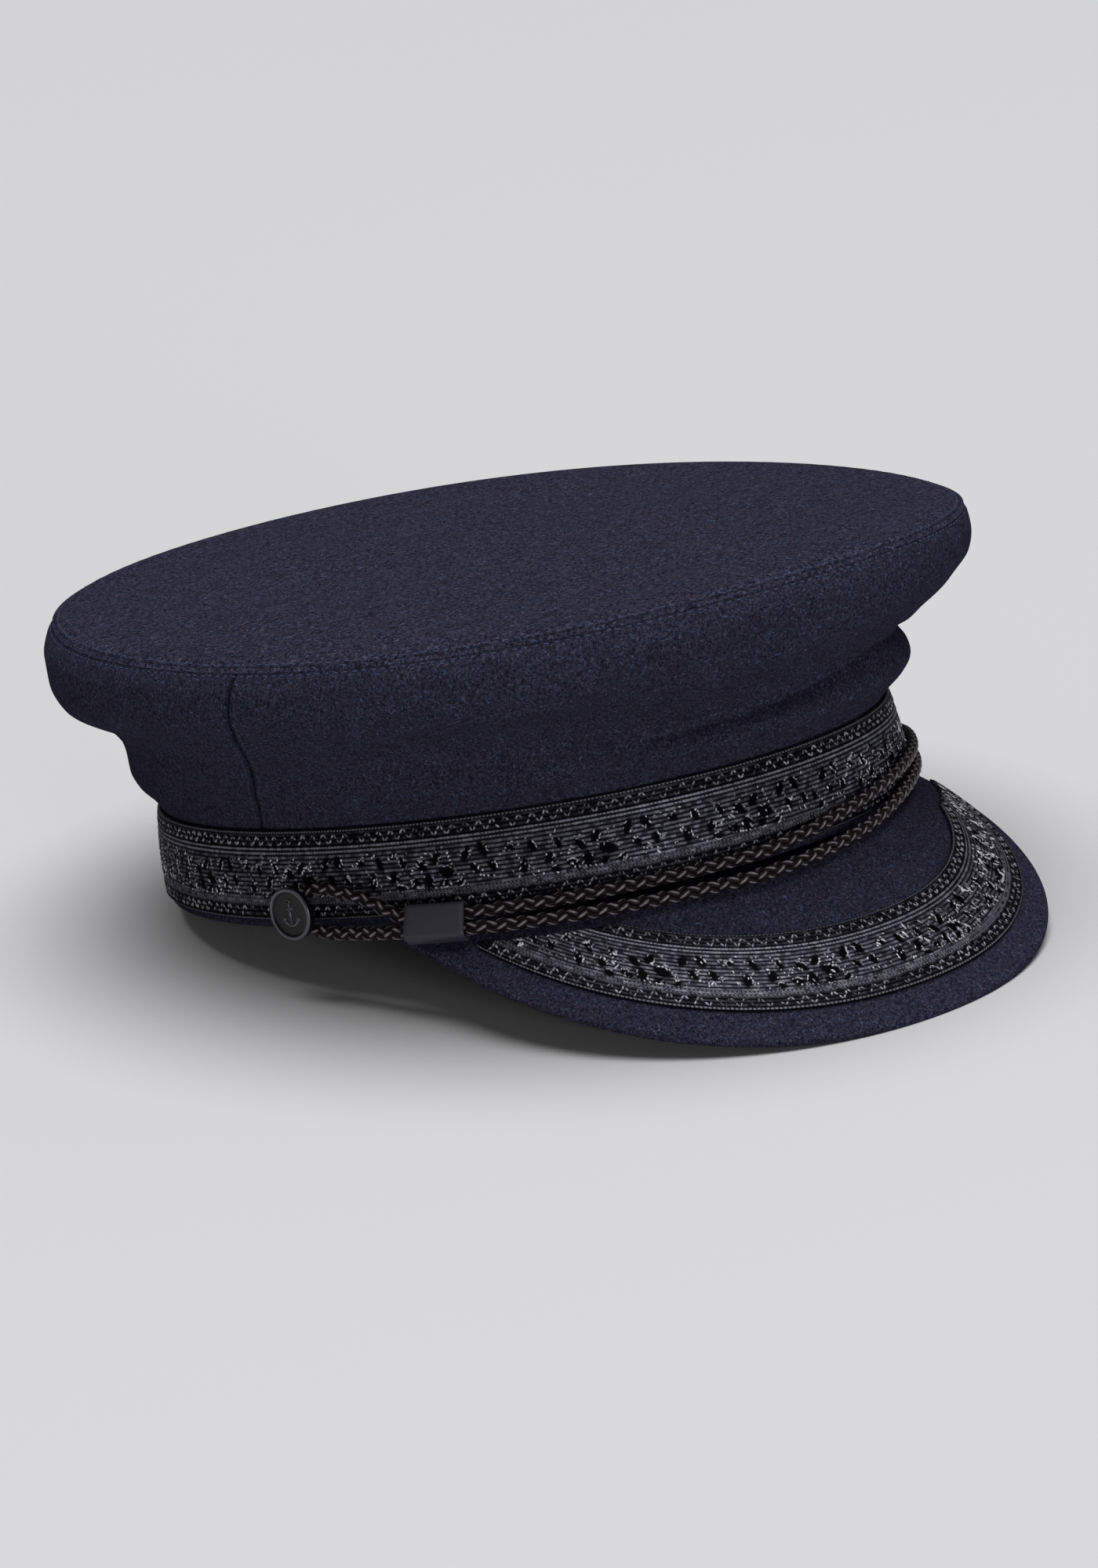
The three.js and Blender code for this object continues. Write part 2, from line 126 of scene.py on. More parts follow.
def placeLamp(name, kind, place, aim, **fields):
    light = bpy.data.lights.new(name, kind)
    for field, value in fields.items():
        setattr(light, field, value)
    lamp = bpy.data.objects.new(name, light)
    lamp.location = place
    lamp.rotation_euler = aim.to_track_quat("-Z", "Y").to_euler()
    bpy.context.scene.collection.objects.link(lamp)


def lightStudio():
    for i, (spot, width, watts) in enumerate(viewSettings["lamps"]):
        aim = Vector(viewSettings["aim"]) - Vector(spot)
        placeLamp(f"softbox_{i}", "AREA", spot, aim, shape="DISK", size=width, energy=watts)
    direction, across, strength = viewSettings["ceiling"]
    placeLamp("ceiling", "SUN", (0, 0, 0), -Vector(direction), angle=across, energy=strength)
    world = bpy.data.worlds.new("studio")
    bpy.context.scene.world = world
    world.use_nodes = True
    sky = world.node_tree.nodes["Background"]
    sky.inputs["Color"].default_value = toLinear(viewSettings["world"])
    sky.inputs["Strength"].default_value = viewSettings["worldStrength"]
    bpy.context.scene.view_settings.view_transform = "Standard"


def placeFloor():
    reach = 30  # metres to each side
    corners = [(-reach, -reach, 0), (reach, -reach, 0), (reach, reach, 0), (-reach, reach, 0)]
    mesh = bpy.data.meshes.new("floor")
    mesh.from_pydata(corners, [], [(0, 1, 2, 3)])
    floor = bpy.data.objects.new("floor", mesh)
    bpy.context.scene.collection.objects.link(floor)
    paper = newMaterial("matte_paper")[0]
    mesh.materials.append(finishMaterial(paper, {"Base Color": viewSettings["floor"], "Roughness": 0.9}))


placeCamera()
lightStudio()
placeFloor()
print("camera, lamps and floor placed")


# the forms that everything is laid on

def toRow(points):
    points = np.asarray(points, float)
    cos, sin = math.cos(capSizes["tilt"]), math.sin(capSizes["tilt"])
    x, y, z = points[..., 0], points[..., 1], points[..., 2]
    turned = np.stack([x, y * cos + z * sin, z * cos - y * sin], -1) + capSizes["place"]
    turned[..., 2] = np.maximum(turned[..., 2], 0)  # cloth flattens where it rests
    return turned / 1000


def unit(vectors):
    return vectors / np.maximum(np.linalg.norm(vectors, axis=-1, keepdims=True), 1e-12)


def smooth(share):
    share = np.clip(share, 0, 1)
    return share * share * (3 - 2 * share)


def runAlong(points):
    # the distance covered at each point of a line
    return np.concatenate([[0], np.cumsum(np.linalg.norm(np.diff(points, axis=0), axis=1))])


def pointsAt(at, run, points):
    # the points of a line at the distances given
    return np.stack([np.interp(at, run, points[:, k]) for k in range(3)], -1)


def degreesApart(angle, middle):
    return np.abs((np.degrees(angle) - middle + 180) % 360 - 180)


def oval(angle, depth, height):
    angle, depth, height = np.broadcast_arrays(angle, depth, height)
    width = (capSizes["headWidth"] / 2 + depth) * (1 - capSizes["headEgg"] * np.cos(angle))
    y = -(capSizes["headLength"] / 2 + depth) * np.cos(angle)
    return np.stack([-width * np.sin(angle), y, height], -1).astype(float)


def ovalNormal(angle):
    x = -(capSizes["headLength"] / 2 + bandDepth) * np.sin(angle)
    egg = np.cos(angle) - capSizes["headEgg"] * np.cos(2 * angle)
    y = -(capSizes["headWidth"] / 2 + bandDepth) * egg
    return unit(np.stack([x, y, 0 * x], -1))


def bandPoint(angle, depth, height):
    share = np.maximum(height, 0) / bandTop
    return oval(angle, depth - capSizes["bandLean"] * share ** capSizes["leanRound"], height)


crownSizes = {
    "length": 238.2, "width": 216.2, "forward": 8.6, "height": 71.1, "rise": 6.6,
    "saddle": 1.55, "wave": 0.8, "egg": 0.03, "dome": 2.3, "wall": 2.0,
    "seamFoot": 89.3, "seamLean": 11.0, "seamSwing": 1.2,
    "frontFold": (-40, 60), "backFold": (150, 75),  # middle and reach, degrees
    "sections": [  # up the wall, and how far out at the side, the front fold and the back fold
        (0.0, 0.0, 0.0, 0.0), (0.06, 0.06, 0.1, 0.1), (0.13, 0.14, 0.22, 0.28),
        (0.21, 0.22, 0.27, 0.36), (0.29, 0.28, 0.26, 0.36), (0.36, 0.38, 0.29, 0.39),
        (0.43, 0.52, 0.35, 0.53), (0.52, 0.75, 0.54, 0.88), (0.62, 0.97, 0.84, 1.12),
        (0.74, 1.08, 1.0, 1.22), (0.86, 1.09, 1.03, 1.22), (0.95, 1.05, 1.02, 1.12),
        (1.0, 1.0, 1.0, 1.0),
    ],
    # creases of the wall: (degrees, up) along each, depth and half width in millimetres
    "creases": [
        ([(-56, 0.35), (-42, 0.365), (-32, 0.385), (-22, 0.405), (-16.5, 0.4), (-10.8, 0.37), (-2, 0.33),
          (4, 0.3), (10, 0.275), (18, 0.262), (27, 0.26)], -5.4, 2.2),
        ([(2, 0.73), (12, 0.71), (18, 0.675), (23, 0.64), (30, 0.58), (38, 0.54)], -1.5, 4.0),
        ([(-60, 0.60), (-42, 0.62), (-26, 0.66), (-12, 0.62)], -1.3, 6.0),
        ([(-44, 0.22), (-30, 0.24), (-14, 0.22), (2, 0.17), (16, 0.15), (32, 0.16)], 1.8, 4.5),
        ([(24, 0.30), (34, 0.33), (45, 0.40), (55, 0.45), (66, 0.47)], -2.6, 8.0),
        ([(28, 0.13), (44, 0.16), (58, 0.22), (72, 0.24)], 1.1, 6.0),
        ([(78, 0.63), (90, 0.56), (100, 0.49), (112, 0.46), (126, 0.45)], -2.4, 5.5),
        ([(84, 0.34), (96, 0.31), (108, 0.32), (122, 0.34)], 1.3, 4.5),
        ([(84, 0.14), (96, 0.15), (108, 0.19), (122, 0.22)], -1.2, 3.5),
        ([(-62, 0.40), (-78, 0.42), (-96, 0.38), (-112, 0.33)], -1.7, 5.5),
        ([(-128, 0.44), (-146, 0.40), (-165, 0.42), (-182, 0.40)], -1.5, 5.0),
        ([(-70, 0.20), (-90, 0.18), (-108, 0.15)], 0.8, 5.0),
    ],
    "waves": 0.4,  # slack of the cloth between them
    # millimetres to a degree round the rim and round the wall, and to a degree and the whole wall
    # where the creases run
    "rimDegree": 1.98, "wallDegree": 1.75, "creaseDegree": 1.9, "creaseHeight": 48.0,
    "rimRadius": 113.0, "fullness": 1.25,  # the wall's cloth is this much longer than a straight line
    # a crease deeper than the first figure gets painted shade along its bottom, fully so at the second
    "shadedFrom": 1.8, "shadedFully": 4.8, "foldShade": 0.8,
}


def easedColumns(table, at):
    # monotone cubic through each column, so that no fold overshoots
    table = np.array(table, float)
    x, step = table[:, 0], np.diff(table[:, 0])
    k = np.clip(np.searchsorted(x, at, side="right") - 1, 0, len(x) - 2)
    t = (at - x[k]) / step[k]
    columns = []
    for y in table[:, 1:].T:
        rise = np.diff(y) / step
        slope = np.zeros_like(y)
        before, after = rise[:-1], rise[1:]
        w1, w2 = 2 * step[1:] + step[:-1], step[1:] + 2 * step[:-1]
        same = before * after > 0
        slope[1:-1][same] = (w1 + w2)[same] / (w1[same] / before[same] + w2[same] / after[same])
        slope[0], slope[-1] = rise[0], rise[-1]
        t2, t3 = t * t, t * t * t
        columns.append((2 * t3 - 3 * t2 + 1) * y[k] + (t3 - 2 * t2 + t) * step[k] * slope[k]
                       + (3 * t2 - 2 * t3) * y[k + 1] + (t3 - t2) * step[k] * slope[k + 1])
    return columns


def crownPoint(angle, share):
    angle, share = np.broadcast_arrays(angle, share)
    c = crownSizes
    width = c["width"] / 2 * (1 - c["egg"] * np.cos(angle))
    z = (c["height"] - c["rise"] * np.cos(angle) * share
         + c["saddle"] * np.cos(2 * angle) * share ** 2 + c["wave"] * np.cos(3 * angle) * share ** 3)
    y = -c["length"] / 2 * np.cos(angle) * share - c["forward"]
    return np.stack([-width * np.sin(angle) * share, y, z], -1)


def foldWeight(angle, fold):
    return smooth(1 - degreesApart(angle, fold[0]) / fold[1])


def wallForm(angle, up):
    angle, up = np.broadcast_arrays(angle, up)
    side, front, back = easedColumns(crownSizes["sections"], up)
    frontWeight = foldWeight(angle, crownSizes["frontFold"])
    backWeight = foldWeight(angle, crownSizes["backFold"])
    out = (side * (1 - frontWeight - backWeight) + front * frontWeight + back * backWeight)[..., None]
    foot = bandPoint(angle, capSizes["bandWall"], bandTop) + [0, 0, capSizes["fitGap"]]
    head = crownPoint(angle, 1.0)
    point = foot * (1 - out) + head * out
    point[..., 2] = foot[..., 2] * (1 - up) + head[..., 2] * up
    return point


def creaseDepth(angle, up):
    # how far the wall stands in or out at its creases, in millimetres
    total = np.zeros(np.broadcast(angle, up).shape)
    across, high = crownSizes["creaseDegree"], crownSizes["creaseHeight"]
    degree = np.degrees(angle)
    for path, depth, half in crownSizes["creases"]:
        path = np.array(path, float)
        nearest = np.full(total.shape, 1e9)
        fade = np.zeros(total.shape)
        middle = np.mean(path[:, 0])
        local = middle + (degree - middle + 180) % 360 - 180
        for i in range(len(path) - 1):
            ax, ay = path[i, 0] * across, path[i, 1] * high
            bx, by = path[i + 1, 0] * across, path[i + 1, 1] * high
            dx, dy = bx - ax, by - ay
            px, py = local * across - ax, up * high - ay
            share = np.clip((px * dx + py * dy) / (dx * dx + dy * dy), 0, 1)
            away = np.hypot(px - share * dx, py - share * dy)
            closer = away < nearest
            nearest = np.where(closer, away, nearest)
            fade = np.where(closer, (i + share) / (len(path) - 1), fade)
        # a crease is deepest in its middle and fades towards both ends
        strength = np.sin(np.pi * np.clip(0.08 + 0.84 * fade, 0, 1)) ** 0.7
        total += depth * strength * np.exp(-(nearest / half) ** 2)
    slack = (np.sin(3.1 * angle + 7 * up + 0.6) + np.sin(5.3 * angle - 9 * up + 2.1)
             + 0.7 * np.sin(9.2 * angle + 4 * up + 4.0))
    return total + crownSizes["waves"] * slack * np.sin(np.pi * np.clip(up, 0, 1)) ** 1.2 * 0.6


# meshes from grids

def linkMesh(name, points, faces, material, uvs=None, marks=None):
    # points in millimetres on the hem plane; marks are values that a material reads at each point
    mesh = bpy.data.meshes.new(name)
    mesh.from_pydata([tuple(p) for p in toRow(points).reshape(-1, 3)], [], faces)
    mesh.polygons.foreach_set("use_smooth", [True] * len(mesh.polygons))
    if uvs is not None:
        layer = mesh.uv_layers.new(name="cloth")
        corners = np.zeros(len(mesh.loops), dtype=int)
        mesh.loops.foreach_get("vertex_index", corners)
        layer.data.foreach_set("uv", np.asarray(uvs)[corners].ravel())
    for word, values in (marks or {}).items():
        attribute = mesh.attributes.new(word, "FLOAT", "POINT")
        attribute.data.foreach_set("value", np.asarray(values, float).ravel())
    mesh.materials.append(material)
    mesh.validate()
    piece = bpy.data.objects.new(name, mesh)
    bpy.context.scene.collection.objects.link(piece)
    return piece


def gridFaces(rows, columns, start=0, wrap=False, flip=False):
    lanes = columns if wrap else columns - 1
    r, c = np.meshgrid(np.arange(rows - 1) * columns, np.arange(lanes), indexing="ij")
    n = (c + 1) % columns
    quads = np.stack([r + c, r + n, r + columns + n, r + columns + c], -1).reshape(-1, 4) + start
    return (quads[:, ::-1] if flip else quads).tolist()


def foldedFaces(rows, columns, wrap=False):
    # a grid whose last row meets its first again, as the section of a closed sheet does
    last = (rows - 1) * columns
    lanes = range(columns if wrap else columns - 1)
    closing = [[last + j, last + (j + 1) % columns, (j + 1) % columns, j] for j in lanes]
    return gridFaces(rows, columns, 0, wrap) + closing


def endFaces(rows, columns, order=1):
    # the two end sections of a folded grid
    first = [i * columns for i in range(rows)]
    return [first[::order], [i + columns - 1 for i in first][::-order]]


def fixFacing(piece):
    cloth = bmesh.new()
    cloth.from_mesh(piece.data)
    bmesh.ops.recalc_face_normals(cloth, faces=cloth.faces)
    cloth.to_mesh(piece.data)
    cloth.free()


def shell(name, outside, inside, material, marks):
    # a closed sheet of cloth from its two faces, each rows by columns
    rows, columns = outside.shape[:2]
    count = rows * columns
    faces = gridFaces(rows, columns) + gridFaces(rows, columns, count, flip=True)
    for row, order in ((0, 1), (rows - 1, -1)):
        for a in range(row * columns, (row + 1) * columns - 1):
            faces.append([a, a + count, a + 1 + count, a + 1][::order])
    for column, order in ((0, 1), (columns - 1, -1)):
        for a in range(column, column + (rows - 1) * columns, columns):
            faces.append([a, a + columns, a + columns + count, a + count][::order])
    marks = {word: np.concatenate([values, 0 * values]) for word, values in marks.items()}
    return linkMesh(name, np.concatenate([outside, inside]), faces, material, marks=marks)


def beads(name, centres, alongs, normals, length, radius, flat, material, rings=4, sides=6):
    # many small rounded threads in one mesh, each lying along its own direction
    centres, alongs, normals = (np.asarray(v, float) for v in (centres, alongs, normals))
    alongs, normals = unit(alongs), unit(normals)
    across = unit(np.cross(normals, alongs))
    normals = np.cross(alongs, across)
    reach = np.broadcast_to(length, len(centres)) / 2
    radius = np.broadcast_to(radius, len(centres))
    places = np.linspace(-1, 1, rings + 1)
    turn = np.linspace(0, 2 * np.pi, sides, endpoint=False)
    points, faces = [], []
    girth = np.sqrt(np.maximum(1 - np.abs(places) ** 2.6, 0))
    for k in range(len(centres)):
        start = len(points)
        points.append(centres[k] - alongs[k] * reach[k])
        for place, wide in zip(places[1:-1], girth[1:-1]):
            hub = centres[k] + alongs[k] * reach[k] * place
            for t in turn:
                points.append(hub + across[k] * radius[k] * wide * math.cos(t)
                              + normals[k] * radius[k] * flat * wide * math.sin(t))
        points.append(centres[k] + alongs[k] * reach[k])
        last = len(points) - 1
        for i in range(sides):
            j = (i + 1) % sides
            faces.append([start, start + 1 + j, start + 1 + i])
            for ring in range(rings - 2):
                a = start + 1 + ring * sides
                faces.append([a + i, a + j, a + sides + j, a + sides + i])
            a = last - sides
            faces.append([a + i, a + j, last])
    return linkMesh(name, points, faces, material)


# finishes

# the last colour is the near-black of the painted shade in seams, stitch rows and deep creases
woolColours = {
    "deep": "#191824", "mid": "#323140", "fibreBlue": "#566384", "fibreMauve": "#5f5363", "seam": "#050508",
}


def brushedWool(name, tufts, blur):
    # melton: fulled and brushed wool, so the weave is hidden under a matte mottled nap. tufts is
    # how many go to a metre, blur how softly deep and mid tone meet
    made, tree = newMaterial(name)
    place = addNode(tree, "TexCoord").outputs["Object"]
    # the nap's tufts are about 0.3 mm; drawn at 0.7 to 1 mm so that they show as mottled grain
    nap = addNode(tree, "TexNoise", {"Vector": place, "Scale": tufts, "Detail": 2, "Roughness": 0.7})
    base = addNode(tree, "ValToRGB", {"Fac": nap})
    for element, spot, tone in zip(base.color_ramp.elements, (0.5 - blur, 0.5 + blur), ("deep", "mid")):
        element.position = spot
        element.color = toLinear(woolColours[tone])
    # paler fibres, blue ones and mauve ones, that stand out of the nap in short wisps
    wisps = addNode(tree, "TexNoise", {
        "Vector": place, "Scale": tufts * 1.1, "Detail": 1, "Distortion": 1.5,
    })
    spots = addNode(tree, "MapRange", {
        "Value": wisps, "From Min": 0.56, "From Max": 0.72, "To Min": 0.0, "To Max": 0.6,
    })
    dyed = addNode(tree, "TexNoise", {"Vector": place, "Scale": tufts * 0.6, "Detail": 0})
    hue = addNode(tree, "MapRange", {"Value": dyed, "From Min": 0.42, "From Max": 0.58})
    fibre = addNode(tree, "Mix", {
        "Factor": hue, "A": woolColours["fibreBlue"],
        "B": woolColours["fibreMauve"],
    }, data_type="RGBA")
    mixed = addNode(tree, "Mix", {"Factor": spots, "A": base, "B": fibre}, data_type="RGBA")
    # clumps of nap, 4 to 10 mm, that make the cloth slightly cloudy
    cloud = addNode(tree, "TexNoise", {"Vector": place, "Scale": 170, "Detail": 3, "Roughness": 0.6})
    shade = addNode(tree, "MapRange", {
        "Value": cloud, "From Min": 0.3, "From Max": 0.7, "To Min": 0.9, "To Max": 1.08,
    })
    clouded = addNode(tree, "HueSaturation", {"Value": shade, "Color": mixed})
    # painted shade: the cloth is darkened towards a near-black in the grooves of its sewn seams and stitch
    # rows and at the bottom of deep creases
    seam = addNode(tree, "Attribute", attribute_name="seam").outputs["Fac"]
    final = addNode(tree, "Mix", {
        "Factor": seam, "A": clouded, "B": woolColours["seam"],
    }, data_type="RGBA")
    bump = addNode(tree, "Bump", {"Height": nap, "Strength": 0.4, "Distance": 0.0005})
    return finishMaterial(made, {
        "Base Color": final, "Roughness": 0.95, "Normal": bump,
        "Specular IOR Level": 0.0,
    })


def cottonThread(name, hexText):
    # spun sewing thread: soft, a little glossy, with the twist showing as a fine noise bump
    made, tree = newMaterial(name)
    place = addNode(tree, "TexCoord").outputs["Object"]
    twist = addNode(tree, "TexNoise", {"Vector": place, "Scale": 3000})
    bump = addNode(tree, "Bump", {"Height": twist, "Strength": 0.4, "Distance": 0.0001})
    return finishMaterial(made, {
        "Base Color": hexText, "Roughness": 0.7, "Normal": bump,
        "Specular IOR Level": 0.1,
    })


# the last two colours are painted glints on the rayon floats and the borders' teeth
ribbonColours = {
    "gap": "#1b1b20", "thread": "#2c2c33", "bright": "#70707b", "leaf": "#0b0b0e", "line": "#a2a2af",
    "floatDark": "#3a3a42", "floatGlint": "#dcdce4", "tooth": "#a4a4b0",
}
# all in millimetres: the bright woven lines' places across, their half width and the pitch of
# their dashes, and the pitch of the picks and the length of a bead of thread. Picks 0.5 mm apart
# in the real ribbon are drawn 1.05 mm apart so that their lines show
ribbonWeave = {
    "lines": [0.4, 4.2, 5.2, 16.3, 17.3, 21.1], "lineHalf": 0.22, "dash": 0.95, "pick": 1.05, "bead": 1.3,
}


def acrossRamp(tree, share, stops):
    # a grey ramp across the ribbon from (place in millimetres, value) pairs
    ramp = addNode(tree, "ValToRGB", {"Fac": share})
    elements = ramp.color_ramp.elements
    for element in list(elements)[1:]:
        elements.remove(element)
    for k, (place, value) in enumerate(stops):
        spot = min(max(place / capSizes["ribbonWidth"], 0), 1)
        element = elements[0] if k == 0 else elements.new(spot)
        element.position = spot
        element.color = (value, value, value, 1)
    return ramp


def wovenRibbon():
    # jacquard ribbon of black cotton warp and grey rayon weft: rows of small beads of thread
    made, tree = newMaterial("jacquard_ribbon_woven")
    uv = addNode(tree, "UVMap", uv_map="cloth")
    leaf = addNode(tree, "Attribute", attribute_name="leaf").outputs["Fac"]
    picks = addNode(tree, "TexBrick", {
        "Vector": uv, "Color1": ribbonColours["thread"],
        "Color2": ribbonColours["bright"], "Mortar": ribbonColours["thread"],
        "Scale": 1.0, "Mortar Size": 0.05, "Mortar Smooth": 0.4, "Bias": 0.0,
        "Brick Width": ribbonWeave["bead"], "Row Height": ribbonWeave["pick"],
    }, offset=0.5)
    # the wave texture has 20 radians to a unit
    weft = addNode(tree, "TexWave", {
        "Vector": uv, "Scale": 2 * math.pi / 20 / ribbonWeave["pick"], "Distortion": 0.35, "Detail": 1,
        "Detail Scale": 1.5,
    }, bands_direction="Y")
    crest = addNode(tree, "MapRange", {"Value": weft.outputs["Fac"], "From Min": 0.08, "From Max": 0.5})
    rows = addNode(tree, "Mix", {
        "Factor": crest, "A": ribbonColours["gap"], "B": picks,
    }, data_type="RGBA")
    # patches about 2 mm, darker and lighter at random: real wear, with painted sheen where lighter
    blotch = addNode(tree, "TexNoise", {"Vector": uv, "Scale": 0.45, "Detail": 4, "Roughness": 0.75})
    shade = addNode(tree, "MapRange", {
        "Value": blotch, "From Min": 0.38, "From Max": 0.62, "To Min": 0.55, "To Max": 1.35,
    })
    field = addNode(tree, "HueSaturation", {"Value": shade, "Color": rows})
    split = addNode(tree, "SeparateXYZ", {"Vector": uv})
    share = addNode(tree, "Math", {0: split.outputs["Y"], 1: capSizes["ribbonWidth"]},
                    operation="DIVIDE")
    # both borders are darker between their bright lines
    border = acrossRamp(tree, share, [(0.0, 0.8), (3.7, 0.8), (4.0, 0.0), (17.5, 0.0), (17.8, 0.8)])
    dark = addNode(tree, "Math", {0: border, 1: leaf}, operation="MAXIMUM")
    ground = addNode(tree, "Mix", {
        "Factor": dark, "A": field, "B": ribbonColours["leaf"],
    }, data_type="RGBA")
    stops = [(0.0, 0.0)]
    half = ribbonWeave["lineHalf"]
    for line in ribbonWeave["lines"]:
        stops += [(line - half, 0.0), (line, 1.0), (line + half, 0.0)]
    lines = acrossRamp(tree, share, stops)
    # the lines are broken into dashes along the ribbon
    beat = addNode(tree, "Math", {
        0: split.outputs["X"], 1: 2 * math.pi / ribbonWeave["dash"],
    }, operation="MULTIPLY")
    pulse = addNode(tree, "Math", {0: beat}, operation="SINE")
    dash = addNode(tree, "MapRange", {
        "Value": pulse, "From Min": -0.9, "From Max": 0.2, "To Min": 0.0, "To Max": 0.75,
    })
    strength = addNode(tree, "Math", {0: lines, 1: dash}, operation="MULTIPLY")
    colour = addNode(tree, "Mix", {
        "Factor": strength, "A": ground, "B": ribbonColours["line"],
    }, data_type="RGBA")
    height = addNode(tree, "Math", {0: crest, 1: strength}, operation="MAXIMUM")
    bump = addNode(tree, "Bump", {"Height": height, "Strength": 0.8, "Distance": 0.0003})
    return finishMaterial(made, {
        "Base Color": colour, "Roughness": 0.5, "Normal": bump,
        "Metallic": 0.55, "Specular IOR Level": 0.02, "Specular Tint": "#808080",
    })


def rayonFloats(name, dark, bright):
    # long floats of rayon weft: smooth filament with a silky glint. Noise patches mix a dark grey with
    # a painted glint colour, standing in for floats turned to the light and away from it
    made, tree = newMaterial(name)
    place = addNode(tree, "TexCoord").outputs["Object"]
    patch = addNode(tree, "TexNoise", {"Vector": place, "Scale": 260, "Detail": 4, "Roughness": 0.8})
    # painted highlight: patches where the floats take the glint colour
    turned = addNode(tree, "MapRange", {"Value": patch, "From Min": 0.42, "From Max": 0.6})
    colour = addNode(tree, "Mix", {
        "Factor": turned, "A": ribbonColours[dark],
        "B": ribbonColours[bright],
    }, data_type="RGBA")
    return finishMaterial(made, {
        "Base Color": colour, "Roughness": 0.35, "Metallic": 0.5,
        "Specular IOR Level": 0.1, "Specular Tint": "#a0a0a0",
    })


# the first colour is painted shade where a yarn dives under, the last a painted highlight along its ridge
braidColours = {"under": "#030303", "body": "#150f10", "ridgeGlint": "#9a9297"}


def braidedRayon():
    # rayon yarn braided round a core: dark brown-black, with a painted highlight along each yarn's
    # ridge where it lies on top, and painted shade where it dives under
    made, tree = newMaterial("rayon_cord_braided")
    place = addNode(tree, "TexCoord").outputs["Object"]
    ridgeGlint = addNode(tree, "Attribute", attribute_name="ridgeGlint").outputs["Fac"]
    top = addNode(tree, "Attribute", attribute_name="top").outputs["Fac"]
    yarn = addNode(tree, "TexNoise", {"Vector": place, "Scale": 1500, "Detail": 2})
    body = addNode(tree, "Mix", {
        "Factor": top, "A": braidColours["under"], "B": braidColours["body"],
    }, data_type="RGBA")
    gleam = addNode(tree, "MapRange", {
        "Value": yarn, "From Min": 0.35, "From Max": 0.6, "To Min": 0.55, "To Max": 1.0,
    })
    share = addNode(tree, "Math", {0: ridgeGlint, 1: gleam}, operation="MULTIPLY")
    colour = addNode(tree, "Mix", {
        "Factor": share, "A": body, "B": braidColours["ridgeGlint"],
    }, data_type="RGBA")
    bump = addNode(tree, "Bump", {"Height": yarn, "Strength": 0.3, "Distance": 0.0001})
    return finishMaterial(made, {
        "Base Color": colour, "Roughness": 0.4, "Normal": bump,
        "Specular IOR Level": 0.06,
    })


def lacqueredMetal(name, hexText, rough, grain, bare=0.0):
    # stamped brass under a sprayed lacquer: even colour, soft reflections, faint orange peel. grain
    # is how many bumps of the peel go to a metre, bare how far the lacquer is rubbed away
    made, tree = newMaterial(name)
    place = addNode(tree, "TexCoord").outputs["Object"]
    peel = addNode(tree, "TexNoise", {"Vector": place, "Scale": grain, "Detail": 3})
    rub = addNode(tree, "MapRange", {"Value": peel, "To Min": rough - 0.06, "To Max": rough + 0.08})
    bump = addNode(tree, "Bump", {"Height": peel, "Strength": 0.15, "Distance": 0.0001})
    return finishMaterial(made, {
        "Base Color": hexText, "Roughness": rub,
        "Normal": bump, "Metallic": bare, "Specular IOR Level": 0.2,
        "Coat Weight": 0.04, "Coat Roughness": 0.15,
    })


threadColours = {"rim": "#404963", "side": "#343b52"}
# the last colour, for the button's rim and anchor, is lighter as rubbed metal and as a painted highlight
metalColours = {"slate": "#37373f", "black": "#0b0b0d", "rubbedHighlight": "#56565e"}
wool = brushedWool("wool_melton_brushed", 1500, 0.13)
lidWool = brushedWool("wool_melton_pressed", 1050, 0.1)
seamThread = cottonThread("cotton_thread_spun", threadColours["rim"])
sideThread = cottonThread("cotton_thread_dark", threadColours["side"])
ribbonCloth = wovenRibbon()
# both float finishes mix a dark grey with a painted glint colour
floatThread = rayonFloats("rayon_floats_painted_glint", "floatDark", "floatGlint")
toothThread = rayonFloats("rayon_floats_grey", "floatDark", "tooth")
cordYarn = braidedRayon()
slateMetal = lacqueredMetal("brass_lacquered_slate", metalColours["slate"], 0.42, 900)
blackMetal = lacqueredMetal("brass_lacquered_black", metalColours["black"], 0.3, 700)
rimMetal = lacqueredMetal("brass_lacquer_rubbed_highlight", metalColours["rubbedHighlight"], 0.3, 700, 0.7)
print("finishes made")


# crown

seamSettings = {
    "row": 1.6,  # topstitching this far to each side of a seam
    "stitch": 1.6, "pitch": 2.4, "thread": 0.17,
    "puckerPitch": 7.0,
    # depth of the sewn groove and its half width, depth of the stitched dimple, and of the pucker
    "rim": (0.95, 0.65, 0.3, 0.1),
    "side": (0.35, 0.4, 0.08, 0.03),
    "dimpleHalf": 0.7, "puckerHalf": 1.6,
    # the painted shade along a seam: its half width, and how dark it is painted at the rim, its stitches
    # and the sides
    "shadeHalf": 0.75, "rimShade": 1.0, "rowShade": 0.3, "sideShade": 0.45,
}


def seamRelief(away, around, kind):
    # depth of the cloth beside a seam, from the distance to it and the way along it
    s = seamSettings
    groove, half, dimple, pucker = s[kind]
    depth = -groove * np.exp(-(away / half) ** 2)
    depth -= dimple * np.exp(-((away - s["row"]) / s["dimpleHalf"]) ** 2)
    pull = np.exp(-((away - s["row"] * 0.6) / s["puckerHalf"]) ** 2)
    return depth + pucker * pull * np.sin(around * 2 * np.pi / s["puckerPitch"])


# painted shade beside a seam, fading with the distance from it
def seamShade(away, strength):
    return strength * np.exp(-(away / seamSettings["shadeHalf"]) ** 2)


def seamAngle(side, up):
    swing = crownSizes["seamSwing"] * np.sin(np.pi * up) ** 2
    return np.radians(side * (crownSizes["seamFoot"] - crownSizes["seamLean"] * up - swing))


def wallLength(angle):
    # length of the wall's cloth from band to rim
    straight = crownPoint(angle, 1.0) - bandPoint(angle, capSizes["bandWall"], bandTop)
    return np.linalg.norm(straight, axis=-1) * crownSizes["fullness"]


